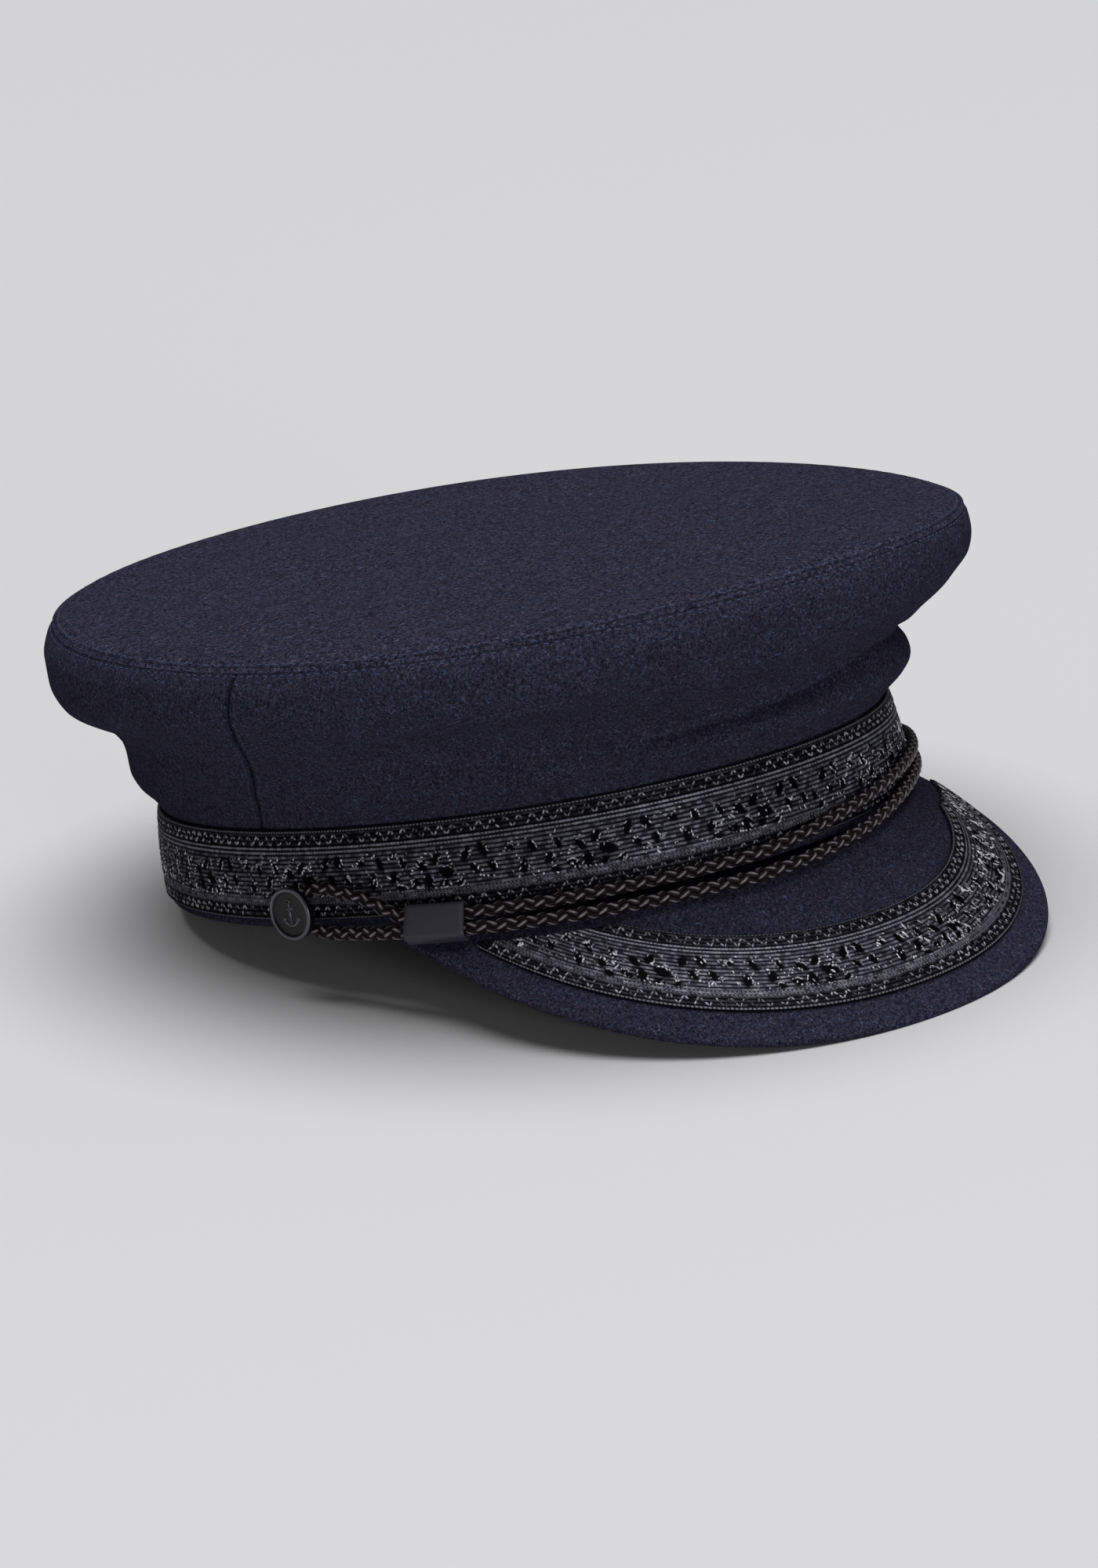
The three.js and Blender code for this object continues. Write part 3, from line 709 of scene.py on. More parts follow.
def wallSurface(angle, up):
    # points of the wall's outside, their normals, and how much painted shade each gets at a seam or crease
    c = crownSizes
    base = wallForm(angle, up)
    turn, lift = 0.01, 0.004  # small steps round and up, which give the normal
    around = wallForm(angle + turn, up) - wallForm(angle - turn, up)
    upward = wallForm(angle, np.minimum(up + lift, 1)) - wallForm(angle, np.maximum(up - lift, 0))
    normal = unit(np.cross(upward, around))
    tall = wallLength(angle)
    fromTop = (1 - up) * tall
    # the creases fade out in the last 9 mm below the rim, the side seams in the last 3
    crease = creaseDepth(angle, up) * smooth(fromTop / 9)
    depth = crease + seamRelief(fromTop, np.degrees(angle) * c["rimDegree"], "rim")
    s = seamSettings
    # painted shade in the rim seam and beside its stitch row, then beside the side seams
    shade = np.maximum(seamShade(fromTop, s["rimShade"]), seamShade(fromTop - s["row"], s["rowShade"]))
    for side in (1, -1):
        away = degreesApart(angle, np.degrees(seamAngle(side, up))) * c["wallDegree"]
        depth = depth + seamRelief(away, up * tall, "side") * smooth(fromTop / 3)
        shade = np.maximum(shade, seamShade(away, s["sideShade"]))
    # painted shade at the bottom of the deep creases
    fold = smooth((-crease - c["shadedFrom"]) / (c["shadedFully"] - c["shadedFrom"])) * c["foldShade"]
    return base + normal * depth[..., None], normal, np.maximum(shade, fold)


def wallPanel(name, node, first, last, columns, rows=84):
    # rows gather towards the rim and columns towards the side seams, where the relief is finest
    up = (1 - (1 - np.linspace(0, 1, rows)) ** 1.35)[:, None]
    edge = 0.5 - 0.5 * np.cos(np.pi * np.linspace(0, 1, columns))
    flow = np.linspace(0, 1, columns) * 0.7 + edge * 0.3
    start, end = first(up), last(up)
    angle = start + (end - start) * flow[None, :]
    outside, normal, shade = wallSurface(angle, np.broadcast_to(up, angle.shape))
    inside = wallForm(angle, np.broadcast_to(up, angle.shape)) - normal * crownSizes["wall"]
    inside[0, :, 2] = outside[0, :, 2]
    inside[-1, :, 2] = outside[-1, :, 2]
    # the wall carries its painted shade to the wool material
    piece = shell(name, outside, inside, wool, {"seam": shade})
    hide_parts(node)
    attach(piece, "root")


gapTurn = capSizes["fitGap"] / capSizes["headWidth"]
wallPanel("crown_wall_front", "crown_front",
          lambda up: seamAngle(-1, up) + gapTurn, lambda up: seamAngle(1, up) - gapTurn, 300)
wallPanel("crown_wall_back", "crown_back",
          lambda up: seamAngle(1, up) + gapTurn, lambda up: 2 * np.pi + seamAngle(-1, up) - gapTurn, 260)

# the cloth rises from the rim over its seam allowance; "gap" keeps the lid clear of the walls and
# "edge" is how thick it is at the rim, all in millimetres
lidSettings = {"rimRise": 1.6, "rimReach": 2.3, "slack": 0.35, "gap": 0.35, "edge": 0.25}


def lidSurface(angle, share):
    angle, share = np.broadcast_arrays(angle, share)
    point = crownPoint(angle, share)
    inset = (1 - share) * crownSizes["rimRadius"]
    rise = lidSettings["rimRise"] * (1 - np.exp(-inset / lidSettings["rimReach"]))
    point[..., 2] += lidSettings["gap"] + rise + crownSizes["dome"] * (1 - share ** 2)
    slack = (np.sin(2 * angle + 5 * share + 1.0) + np.sin(3 * angle - 7 * share + 2.0)
             + 0.8 * np.sin(angle * 5 + 3 * share))
    point[..., 2] += lidSettings["slack"] * slack * smooth(inset / 20) * smooth(share * 3)
    point[..., 2] += seamRelief(inset, np.degrees(angle) * crownSizes["rimDegree"], "rim")
    return point


def crownLid():
    columns, rows = 400, 63
    angle = np.linspace(0, 2 * np.pi, columns, endpoint=False)
    share = (1 - np.linspace(0, 1, rows + 1)[:-1] ** 1.9)[:, None]  # closer towards the rim
    gap, dome = lidSettings["gap"], crownSizes["dome"]
    outside = lidSurface(angle[None, :], share)
    under = crownPoint(angle[None, :], share)
    under[..., 2] += gap + dome * (1 - share ** 2)
    under[0] = outside[0] - [0, 0, lidSettings["edge"]]
    count = rows * columns
    faces = gridFaces(rows, columns, 0, True) + gridFaces(rows, columns, count, True, True)
    middle = np.zeros(1)
    points = np.concatenate([
        outside.reshape(-1, 3), under.reshape(-1, 3),
        lidSurface(middle, middle), crownPoint(middle, middle) + [0, 0, gap + dome],
    ])
    for j in range(columns):
        n = (j + 1) % columns
        a, b = (rows - 1) * columns + j, (rows - 1) * columns + n
        faces.append([a, b, len(points) - 2])
        faces.append([b + count, a + count, len(points) - 1])
        faces.append([j, j + count, n + count, n])
    # painted shade along the rim seam
    away = np.broadcast_to((1 - share) * crownSizes["rimRadius"], (rows, columns))
    shade = np.concatenate([seamShade(away, seamSettings["rimShade"]).ravel(), np.zeros(count + 2)])
    piece = linkMesh("crown_lid", points, faces, lidWool, marks={"seam": shade})
    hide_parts("crown_top")
    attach(piece, "root")


crownLid()


def stitchRow(name, surface, thread):
    # even stitches along a path: surface(share) gives the point and the cloth's normal
    points, normals = surface(np.linspace(0, 1, 2400))
    run = runAlong(points)
    number = int(run[-1] / seamSettings["pitch"])
    at = (np.arange(number) + 0.5) * run[-1] / number + random.normal(0, 0.05, number)
    step, lift = 0.4, 0.02  # millimetres
    normal = unit(pointsAt(at, run, normals))
    centre = pointsAt(at, run, points) + normal * lift
    along = unit(pointsAt(at + step, run, points) - pointsAt(at - step, run, points))
    along = along + random.normal(0, 0.04, (number, 3))
    length = seamSettings["stitch"] * random.uniform(0.9, 1.1, number)
    piece = beads(name, centre, along, normal, length, seamSettings["thread"], 0.8, thread)
    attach(piece, "root")


def ringNormals(surfaceAt, angle, value, step):
    around = surfaceAt(angle + 0.01, value) - surfaceAt(angle - 0.01, value)
    upward = surfaceAt(angle, value + step) - surfaceAt(angle, value - step)
    return unit(np.cross(upward, around))


def lidRow(share):
    angle = share * 2 * np.pi
    value = np.full(angle.shape, 1 - seamSettings["row"] / crownSizes["rimRadius"])
    return lidSurface(angle, value), ringNormals(lidSurface, angle, value, -0.01)


def wallRow(share):
    angle = share * 2 * np.pi
    return wallSurface(angle, 1 - seamSettings["row"] / wallLength(angle))[:2]


def sideRow(side, offset):
    foot, span = 0.02, 0.93  # shares of the wall

    def rowPoints(share):
        up = foot + share * span
        angle = seamAngle(side, up) + math.radians(offset / crownSizes["wallDegree"])
        return wallSurface(angle, up)[:2]
    return rowPoints


stitchRow("topstitch_lid", lidRow, seamThread)
stitchRow("topstitch_wall", wallRow, seamThread)
for side, word in ((1, "right"), (-1, "left")):
    for offset, where in ((-seamSettings["row"], "front"), (seamSettings["row"], "back")):
        stitchRow(f"topstitch_{word}_{where}", sideRow(side, offset), sideThread)
print("crown sewn")


# headband

def bandCloth():
    columns = 420
    angle = np.linspace(0, 2 * np.pi, columns, endpoint=False)
    wall, top = capSizes["bandWall"], bandTop
    half = wall / 2
    profile = [(wall, top), (wall, top * 0.66), (wall, top * 0.33), (wall, 3.0), (wall, half)]
    for t in np.linspace(0.2, np.pi - 0.2, 14):  # the cloth turns round the hem
        profile.append((half + half * math.cos(t), half - half * math.sin(t)))
    profile += [(0, half), (0, 3.0), (0, top * 0.33), (0, top * 0.66), (0, top)]
    rows = np.stack([bandPoint(angle, depth, np.full(columns, height)) for depth, height in profile])
    faces = foldedFaces(len(profile), columns, True)
    piece = linkMesh("band_cloth", rows, faces, wool)
    fixFacing(piece)
    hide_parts("headband")
    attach(piece, "root")


bandCloth()
print("headband made")


# woven ribbon on the band and on the peak

ribbonSettings = {
    "repeat": 39.0,
    "profile": [  # across the ribbon in millimetres, and the height of the weave there
        (0.0, 0.0), (0.4, 0.58), (0.9, 0.42), (2.0, 0.4), (3.6, 0.4), (4.2, 0.62), (4.7, 0.4),
        (5.2, 0.6), (5.8, 0.48), (10.7, 0.56), (15.7, 0.48), (16.3, 0.6), (16.8, 0.4), (17.3, 0.62),
        (17.9, 0.4), (19.5, 0.4), (20.6, 0.42), (21.1, 0.58), (21.5, 0.0),
    ],
    # leaves left dark: along, across, length, width, slant in degrees
    "leaves": [
        (4.5, 13.6, 3.6, 2.2, 68), (8.8, 13.2, 3.6, 2.1, 118), (2.6, 9.6, 2.8, 1.9, 80),
        (7.2, 9.6, 2.8, 1.8, 60), (14.2, 9.4, 4.2, 3.0, 20), (16.6, 12.6, 3.4, 2.2, 130),
        (20.4, 11.4, 3.2, 2.2, 50), (19.2, 7.6, 3.6, 2.8, 95), (22.8, 7.4, 3.0, 2.1, 20),
        (15.4, 6.8, 2.6, 2.0, 160), (25.4, 12.4, 2.8, 1.8, 75), (28.2, 9.2, 3.4, 2.2, 115),
        (31.6, 12.8, 3.2, 1.9, 70), (34.2, 8.4, 3.6, 2.3, 100), (37.0, 13.4, 2.6, 1.7, 40),
        (27.0, 6.6, 2.4, 1.8, 10), (11.2, 6.6, 2.4, 1.6, 150),
    ],
    # stems of bright beads: from and to, along and across
    "stems": [
        ((9.5, 6.0), (13.4, 13.8)), ((13.4, 13.8), (14.6, 15.2)), ((22.5, 6.4), (26.8, 14.6)),
        ((19.0, 14.2), (23.4, 9.8)), ((1.0, 7.0), (6.0, 7.8)), ((30.0, 6.0), (35.6, 11.2)),
        ((16.2, 5.9), (21.4, 6.3)), ((34.8, 15.2), (38.4, 12.6)),
    ],
    "flecks": 40,  # loose bright flecks to a repeat
    "tooth": 3.3,  # pitch of the borders' zigzag
    # painted highlight: broad floats of glint colour where the light catches the peak
    "glintFloats": 60,  # broad bright floats on the peak
    "rows": 50,
    # a stem's or a fleck's float stands this high; the borders' zigzag starts this far from the
    # edge, rises this much and leans this many degrees
    "floatLift": 0.58, "toothFoot": 0.9, "toothRise": 2.7, "toothLean": 58,
    "field": (6.0, 15.4),  # between the borders
    # the edge is knobbly, with a small loop of weft at this pitch and height
    "loop": (1.9, 0.14),
    "lift": 0.1, "leafDip": 0.12,  # the face stands off the cloth, and less so in the leaves
}


def leafShade(along, across):
    # 1 inside the pattern's dark leaves and 0 between them, with pointed leaf outlines
    dark = np.zeros(np.broadcast(along, across).shape)
    repeat = ribbonSettings["repeat"]
    for u, v, length, width, slant in ribbonSettings["leaves"]:
        turn = math.radians(slant)
        du = (along - u + repeat / 2) % repeat - repeat / 2
        dv = across - v
        lengthwise = (du * math.cos(turn) + dv * math.sin(turn)) / (length * 0.62)
        sideways = (dv * math.cos(turn) - du * math.sin(turn)) / (width * 0.64)
        edge = 1 - lengthwise ** 2 - np.abs(sideways)
        dark = np.maximum(dark, smooth(edge / 0.45 + 0.3))
    return dark


def ribbonEdge(along):
    pitch, high = ribbonSettings["loop"]
    return high * np.abs(np.sin(along * np.pi / pitch))


def ribbonSheet(name, pointAt, along, room, wrap):
    # the ribbon as one closed sheet: its face in fine rows, and its back
    profile = np.array(ribbonSettings["profile"])
    share = np.linspace(0, 1, ribbonSettings["rows"])[:, None]
    across = share * room[None, :]
    lift = np.interp(across, profile[:, 0], profile[:, 1])
    lift[1:3] += ribbonEdge(along)
    # the far border keeps its distance from the far edge where the ribbon tapers
    lift[-3:-1] = np.interp((1 - share[-3:-1]) * room, profile[:, 0], profile[:, 1])
    lift[-3:-1] += ribbonEdge(along + 0.7)
    lift[-1] = 0
    leaf = leafShade(along[None, :], across)
    lift = lift + ribbonSettings["lift"] - ribbonSettings["leafDip"] * leaf
    backAcross = np.array([1.0, 0.66, 0.33, 0.0])[:, None] * room[None, :]
    back = pointAt(along[None, :], backAcross, np.zeros(backAcross.shape))
    grid = np.concatenate([pointAt(along[None, :], across, lift), back])
    rows, columns = grid.shape[:2]
    faces = foldedFaces(rows, columns, wrap)
    if not wrap:
        faces += endFaces(rows, columns, -1)
    allAcross = np.concatenate([across, backAcross])
    uvs = np.stack([np.broadcast_to(along, allAcross.shape), allAcross], -1).reshape(-1, 2)
    leaf = np.concatenate([leaf, np.zeros(backAcross.shape)])
    piece = linkMesh(name, grid, faces, ribbonCloth, uvs, {"leaf": leaf})
    fixFacing(piece)
    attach(piece, "root")
    return piece


def arcTable(pointAt, first, last):
    angle = np.linspace(first, last, 2400)
    return angle, runAlong(pointAt(angle))


bandAngles, bandRun = arcTable(lambda a: bandPoint(a, bandDepth, bandTop / 2 + 0 * a), 0, 2 * np.pi)


def bandRibbonPoint(along, across, lift):
    angle = np.interp(along, bandRun, bandAngles)
    return bandPoint(angle, ribbonSeat + lift, capSizes["hemStrip"] + across)


bandLength = bandRun[-1]
bandAlong = np.linspace(0, bandLength, 1280, endpoint=False)
bandRibbon = ribbonSheet("ribbon_band", bandRibbonPoint, bandAlong,
                         np.full(len(bandAlong), capSizes["ribbonWidth"]), True)
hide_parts("band_ribbon")

peakSizes = {
    "reach": 51.6, "lip": 3.9, "span": 66.1, "round": 2.25, "taper": 1.21,
    "slope": 48.0, "ease": 12.6,  # degrees down at the middle, and how much less at the corners
    "wall": 2.6, "margin": 8.7, "clear": 7.4, "tip": 1.5,
}


def peakLength(share):
    full = np.maximum(1 - np.abs(share) ** peakSizes["round"], 0) ** peakSizes["taper"]
    return peakSizes["lip"] + (peakSizes["reach"] - peakSizes["lip"]) * full


def peakSlope(share):
    return np.radians(peakSizes["slope"] - peakSizes["ease"] * share ** 2)


def peakPoint(share, along, depth):
    share, along, depth = np.broadcast_arrays(share, along, depth)
    angle = np.radians(peakSizes["span"] * share)
    slope = peakSlope(share)
    out = along * np.cos(slope) - depth * np.sin(slope)
    point = oval(angle, bandDepth, 0 * angle) + ovalNormal(angle) * out[..., None]
    point[..., 2] = -capSizes["fitGap"] - along * np.sin(slope) - depth * np.cos(slope)
    return point


def peakBoard():
    columns = 260
    share = np.linspace(-1, 1, columns)
    share = np.sign(share) * (1 - (1 - np.abs(share)) ** 1.25)
    wall = peakSizes["wall"]
    radius = wall / 2
    angle = np.radians(peakSizes["span"] * share)
    bend = wall * np.tan(peakSlope(share) / 2)
    end = peakLength(share) - radius

    def root(tuck, depth):
        point = oval(angle, bandDepth, -capSizes["fitGap"] - depth + 0 * angle)
        return point - ovalNormal(angle) * tuck

    # from under the band along the top, round the lip and back along the underside
    rows = [root(bandDepth, 0), root(1.4, 0), root(0.5, 0.05)]
    for t in np.linspace(0, 1, 22):
        eased = 0.35 + t * (end - 0.35)
        rows.append(peakPoint(share, eased, 0.12 * np.exp(-eased / 0.8)))
    for t in np.linspace(0.18, np.pi - 0.18, 12):
        rows.append(peakPoint(share, end + radius * np.sin(t), radius - radius * np.cos(t)))
    for t in np.linspace(1, 0, 14):
        rows.append(peakPoint(share, bend + t * (end - bend), wall))
    rows.append(root(bandDepth, wall))
    grid = np.stack(rows)
    faces = foldedFaces(len(rows), columns) + endFaces(len(rows), columns)
    piece = linkMesh("peak_board", grid, faces, wool)
    fixFacing(piece)
    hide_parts("peak")
    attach(piece, "root")


peakBoard()

tipLength = peakSizes["margin"] + peakSizes["clear"] + peakSizes["tip"]
tipFull = (tipLength - peakSizes["lip"]) / (peakSizes["reach"] - peakSizes["lip"])
peakEnd = (1 - tipFull ** (1 / peakSizes["taper"])) ** (1 / peakSizes["round"])
peakShares, peakRun = arcTable(
    lambda s: peakPoint(s, peakLength(s) - peakSizes["margin"] - capSizes["ribbonWidth"] / 2, 0 * s),
    -peakEnd, peakEnd)


def peakRibbonEdge(along):
    # the place along the peak's arc, and how far out the ribbon's outer edge lies there
    share = np.interp(along, peakRun, peakShares)
    return share, peakLength(share) - peakSizes["margin"]


def peakRibbonPoint(along, across, lift):
    share, outer = peakRibbonEdge(along)
    return peakPoint(share, outer - across, -capSizes["fitGap"] - lift)


def peakRibbonRoom(along):
    return np.minimum(capSizes["ribbonWidth"], peakRibbonEdge(along)[1] - peakSizes["clear"])


peakAlong = np.linspace(0, peakRun[-1], 520)
peakRibbon = ribbonSheet("ribbon_peak", peakRibbonPoint, peakAlong, peakRibbonRoom(peakAlong), False)
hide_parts("peak_ribbon")


def weaveFloats(word, pointAt, runLength, roomAt):
    # the woven pattern's raised bright floats, repeated along a ribbon
    places, teeth = [], []  # along, across, length, slant in degrees
    s = ribbonSettings
    for k in range(math.ceil(runLength / s["repeat"])):
        start = k * s["repeat"]
        for (u0, v0), (u1, v1) in s["stems"]:
            steps = max(int(math.hypot(u1 - u0, v1 - v0) / 0.85), 2)
            slant = math.degrees(math.atan2(v1 - v0, u1 - u0))
            for t in np.linspace(0, 1, steps):
                bend = 0.7 * math.sin(t * math.pi)
                places.append((start + u0 + (u1 - u0) * t + bend, v0 + (v1 - v0) * t, 0.8, slant + 60))
        for u, v, length, width, slant in s["leaves"]:
            turn = math.radians(slant)
            for sideways in (-1, 1):
                du = -math.sin(turn) * sideways * width / 2
                dv = math.cos(turn) * sideways * width / 2
                for t in (-0.35, 0.1, 0.5):
                    # a leaf's lit side has more floats than its other side
                    if random.random() < (0.75 if sideways > 0 else 0.35):
                        reach = t * length / 2
                        places.append((start + u + du * (1 - t * t) + reach * math.cos(turn),
                                       v + dv * (1 - t * t) + reach * math.sin(turn),
                                       random.uniform(0.6, 1.3), slant + random.normal(0, 20)))
        for _ in range(s["flecks"]):
            places.append((start + random.uniform(0, s["repeat"]), random.uniform(*s["field"]),
                           random.uniform(0.5, 1.7), random.choice([50, 70, 110, 130])))
    for foot in np.arange(0, runLength, s["tooth"]):
        for base, rise in ((s["toothFoot"], 1), (capSizes["ribbonWidth"] - s["toothFoot"], -1)):
            for t in (0.26, 0.74):
                for lean in (1, -1):
                    u = foot + s["tooth"] / 2 * (t if lean > 0 else 2 - t)
                    if random.random() < 0.92:
                        v = base + rise * s["toothRise"] * t + random.normal(0, 0.1)
                        length = random.uniform(1.2, 1.45)
                        teeth.append((u, v, length, rise * lean * s["toothLean"] + random.normal(0, 9)))
    if word == "peak":
        # painted highlight: broad floats in the glint colour, crowded where the light catches the peak
        # towards the wearer's left
        for _ in range(s["glintFloats"]):
            places.append((runLength * random.uniform(0.12, 0.5), random.uniform(*s["field"]),
                           random.uniform(1.6, 2.8), 70 + random.normal(0, 25)))
    route = (pointAt, runLength, roomAt)
    sewFloats(f"ribbon_{word}_floats", places, *route, floatThread, (0.19, 0.29))
    sewFloats(f"ribbon_{word}_teeth", teeth, *route, toothThread, (0.24, 0.32))


def sewFloats(name, cells, pointAt, runLength, roomAt, material, thick):
    # the floats that lie on the ribbon, as thick as thick says from and to, in one mesh
    u, v, length, slant = np.array(cells).T
    room = roomAt(u)
    end = 0.8  # millimetres kept clear of a ribbon's ends
    keep = (v < room - end / 2) & (u > end) & (u < runLength - end)
    u, v, length, slant = (a[keep] for a in (u, v, length, slant))
    turn = np.radians(slant)
    step = 0.3
    lift = np.full(u.shape, ribbonSettings["floatLift"])
    centre = pointAt(u, v, lift)
    ahead = pointAt(u + step * np.cos(turn), v + step * np.sin(turn), lift)
    normal = pointAt(u, v, lift + step) - centre
    radius = random.uniform(*thick, len(u)) * np.where(length > 1.5, 1.35, 1.0)
    piece = beads(name, centre, ahead - centre, normal, length, radius, 0.8, material)
    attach(piece, "root")


weaveFloats("band", bandRibbonPoint, bandLength, lambda u: np.full(u.shape, capSizes["ribbonWidth"]))
weaveFloats("peak", peakRibbonPoint, peakRun[-1], peakRibbonRoom)
print("ribbons woven")


# cords

cordSettings = {
    "diameter": 3.4, "lay": 19.0, "carriers": 4,
    "yarnWidth": 0.88, "yarnThick": 0.54, "weave": 0.26,
    # the cord is pulled flat against the band round the wearer's left: how far, from where, over what
    "press": 0.3, "pressedFrom": 12, "pressedOver": 25,
    # the crest shapes the painted highlight along each yarn
    "step": 0.6, "sides": 16, "crest": 36,  # the higher the crest, the finer a yarn's bright line
    "route": [  # degrees round, rise, clear of the ribbon, spread in pitches, lean in degrees
        (81.5, 5.4, 0.28, 1.88, 2), (77.5, 5.2, 0.21, 2.88, 2), (74, 4.5, 0.35, 2.71, 4),
        (70, 3.4, 0.69, 2.11, 12), (67, 2.1, 1.5, 1.44, 22), (64.5, 1.2, 2.32, 1.02, 31),
        (59.6, 0.9, 2.29, 1.02, 32), (54.7, 0.7, 2.29, 1.02, 32), (50.5, 0.5, 1.19, 1.15, 31),
        (44, 0.3, 0.47, 1.2, 32), (33, 0.4, 0.4, 1.3, 31), (15, 0.6, 0.4, 1.41, 31),
        (4, 1.7, 0.33, 1.55, 22), (-9, 3.6, 0.32, 1.66, 12), (-23, 5.9, 0.3, 1.44, 5),
        (-37, 7.2, 0.28, 1.24, 1), (-50, 7.3, 0.27, 1.16, 1), (-60, 6.2, 0.53, 1.14, 2),
        (-66.6, 5.2, 1.23, 1.02, 2), (-71.5, 5.2, 1.23, 1.02, 2), (-76.4, 5.2, 1.02, 1.17, 2),
        (-78.7, 5.3, 0.5, 1.55, 2), (-81.5, 5.4, 0.28, 1.88, 2),
    ],
}
cordRadius = cordSettings["diameter"] / 2
cordPitch = cordSettings["diameter"] + capSizes["fitGap"]


def routeFrame(around, rise, clear, spread, lean):
    angle = math.radians(around)
    lean = math.radians(lean)
    normal = ovalNormal(np.array(angle))
    out = clear + cordRadius + math.sin(lean) * spread * cordPitch / 2
    centre = bandPoint(np.array(angle), bandDepth, rise) + normal * out
    upward = np.array([0, 0, math.cos(lean)]) - normal * math.sin(lean)
    return centre, upward


def smoothRoute(points, count):
    # centripetal spline through the route's points, then even steps along it
    points = [2 * points[0] - points[1], *points, 2 * points[-1] - points[-2]]
    pieces = []
    for p0, p1, p2, p3 in zip(points, points[1:], points[2:], points[3:]):
        pairs = ((p0, p1), (p1, p2), (p2, p3))
        d0, d1, d2 = (max(np.linalg.norm(b - a) ** 0.5, 1e-4) for a, b in pairs)
        t1 = ((p1 - p0) / d0 - (p2 - p0) / (d0 + d1) + (p2 - p1) / d1) * d1
        t2 = ((p2 - p1) / d1 - (p3 - p1) / (d1 + d2) + (p3 - p2) / d2) * d1
        s = np.linspace(0, 1, 60, endpoint=False)[:, None]
        pieces.append(p1 + t1 * s + (-3 * p1 + 3 * p2 - 2 * t1 - t2) * s ** 2
                      + (2 * p1 - 2 * p2 + t1 + t2) * s ** 3)
    line = np.concatenate([*pieces, [points[-2]]])
    run = runAlong(line)
    return pointsAt(np.linspace(0, run[-1], count), run, line), run[-1]


def lineFrames(line):
    tangent = unit(np.gradient(line, axis=0))
    side = unit(np.cross(tangent, [0, 0, 1.0]))
    return side, np.cross(side, tangent)


def tubeMesh(line, across, over, sides):
    # points and faces of a tube: across and over are its two half-axes at each step
    count = len(line)
    turn = np.linspace(0, 2 * np.pi, sides, endpoint=False)
    ring = (line[:, None, :] + across[:, None, :] * np.cos(turn)[None, :, None]
            + over[:, None, :] * np.sin(turn)[None, :, None])
    faces = gridFaces(count, sides, 0, True)
    faces.append(list(range(sides))[::-1])
    faces.append([(count - 1) * sides + i for i in range(sides)])
    return ring.reshape(-1, 3), faces


def joinMesh(points, faces, morePoints, moreFaces):
    start = len(points)
    points.extend(morePoints)
    faces.extend([[i + start for i in face] for face in moreFaces])


def braidedCord(name, node, side):
    # a core under eight yarns: four of each hand, which pass over and under each other
    c = cordSettings
    stops = []
    for row in c["route"]:
        centre, upward = routeFrame(*row)
        stops.append(centre + upward * side * row[3] * cordPitch / 2)
    marks = runAlong(np.array(stops))
    line, length = smoothRoute(stops, int(marks[-1] / c["step"]))
    marks = marks * length / marks[-1]
    print(f"{name} is {length:.0f} mm long")
    out, up = lineFrames(line)
    way = np.linspace(0, length, len(line))
    middle = cordRadius - c["yarnThick"] - c["weave"]
    outward = out * np.sign(np.sum(out * (line * [1, 1, 0]), axis=-1, keepdims=True)) * cordRadius
    around = np.interp(way, marks, [float(row[0]) for row in c["route"]])
    press = 1 - c["press"] * smooth((c["pressedFrom"] - around) / c["pressedOver"])[:, None]
    core = middle * 0.9
    corePoints, faces = tubeMesh(line + outward * (press - 1), out * press * core, up * core, 8)
    points = list(corePoints)
    ridgeGlint, top = [0.0] * len(points), [0.0] * len(points)
    sides = c["sides"]
    turns = np.linspace(0, 2 * np.pi, sides, endpoint=False)
    crest = np.maximum(np.sin(turns), 0) ** c["crest"]
    for hand in (1, -1):
        for k in range(c["carriers"]):
            turn = hand * 2 * np.pi * way / c["lay"] + 2 * np.pi * k / c["carriers"]
            over = hand * np.cos(2 * np.pi * c["carriers"] * way / c["lay"])
            radial = out * np.cos(turn)[:, None] + up * np.sin(turn)[:, None]
            yarn = radial * (middle + c["weave"] * over)[:, None]
            yarn += line + (out * np.sum(yarn * out, axis=-1, keepdims=True) + outward) * (press - 1)
            wide = unit(np.cross(unit(np.gradient(yarn, axis=0)), radial))
            joinMesh(points, faces, *tubeMesh(yarn, wide * c["yarnWidth"], radial * c["yarnThick"], sides))
            # painted highlight along a yarn's ridge, and painted shade where it dives under
            shown = smooth((over + 0.25) / 0.9)
            ridgeGlint.extend((shown[:, None] * crest[None, :]).ravel())
            top.extend(np.repeat(smooth((over + 0.9) / 1.3), sides))
    piece = linkMesh(name, points, faces, cordYarn, marks={"ridgeGlint": ridgeGlint, "top": top})
    fixFacing(piece)
    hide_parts(node)
    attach(piece, "root")


braidedCord("cord_upper", "upper_cord", 1)
braidedCord("cord_lower", "lower_cord", -1)
print("cords braided")


# sliders and buttons

sliderSettings = {
    "length": 14.2, "wall": 0.6, "corner": 1.5, "eased": 0.08,
    "held": 1.02,  # spread of the cords inside, in pitches
    "right": 59.6, "left": -71.5,  # degrees round
}


def routeAt(around):
    rows = np.array(cordSettings["route"], float)[::-1]
    return [around] + [float(np.interp(around, rows[:, 0], rows[:, k])) for k in range(1, 5)]


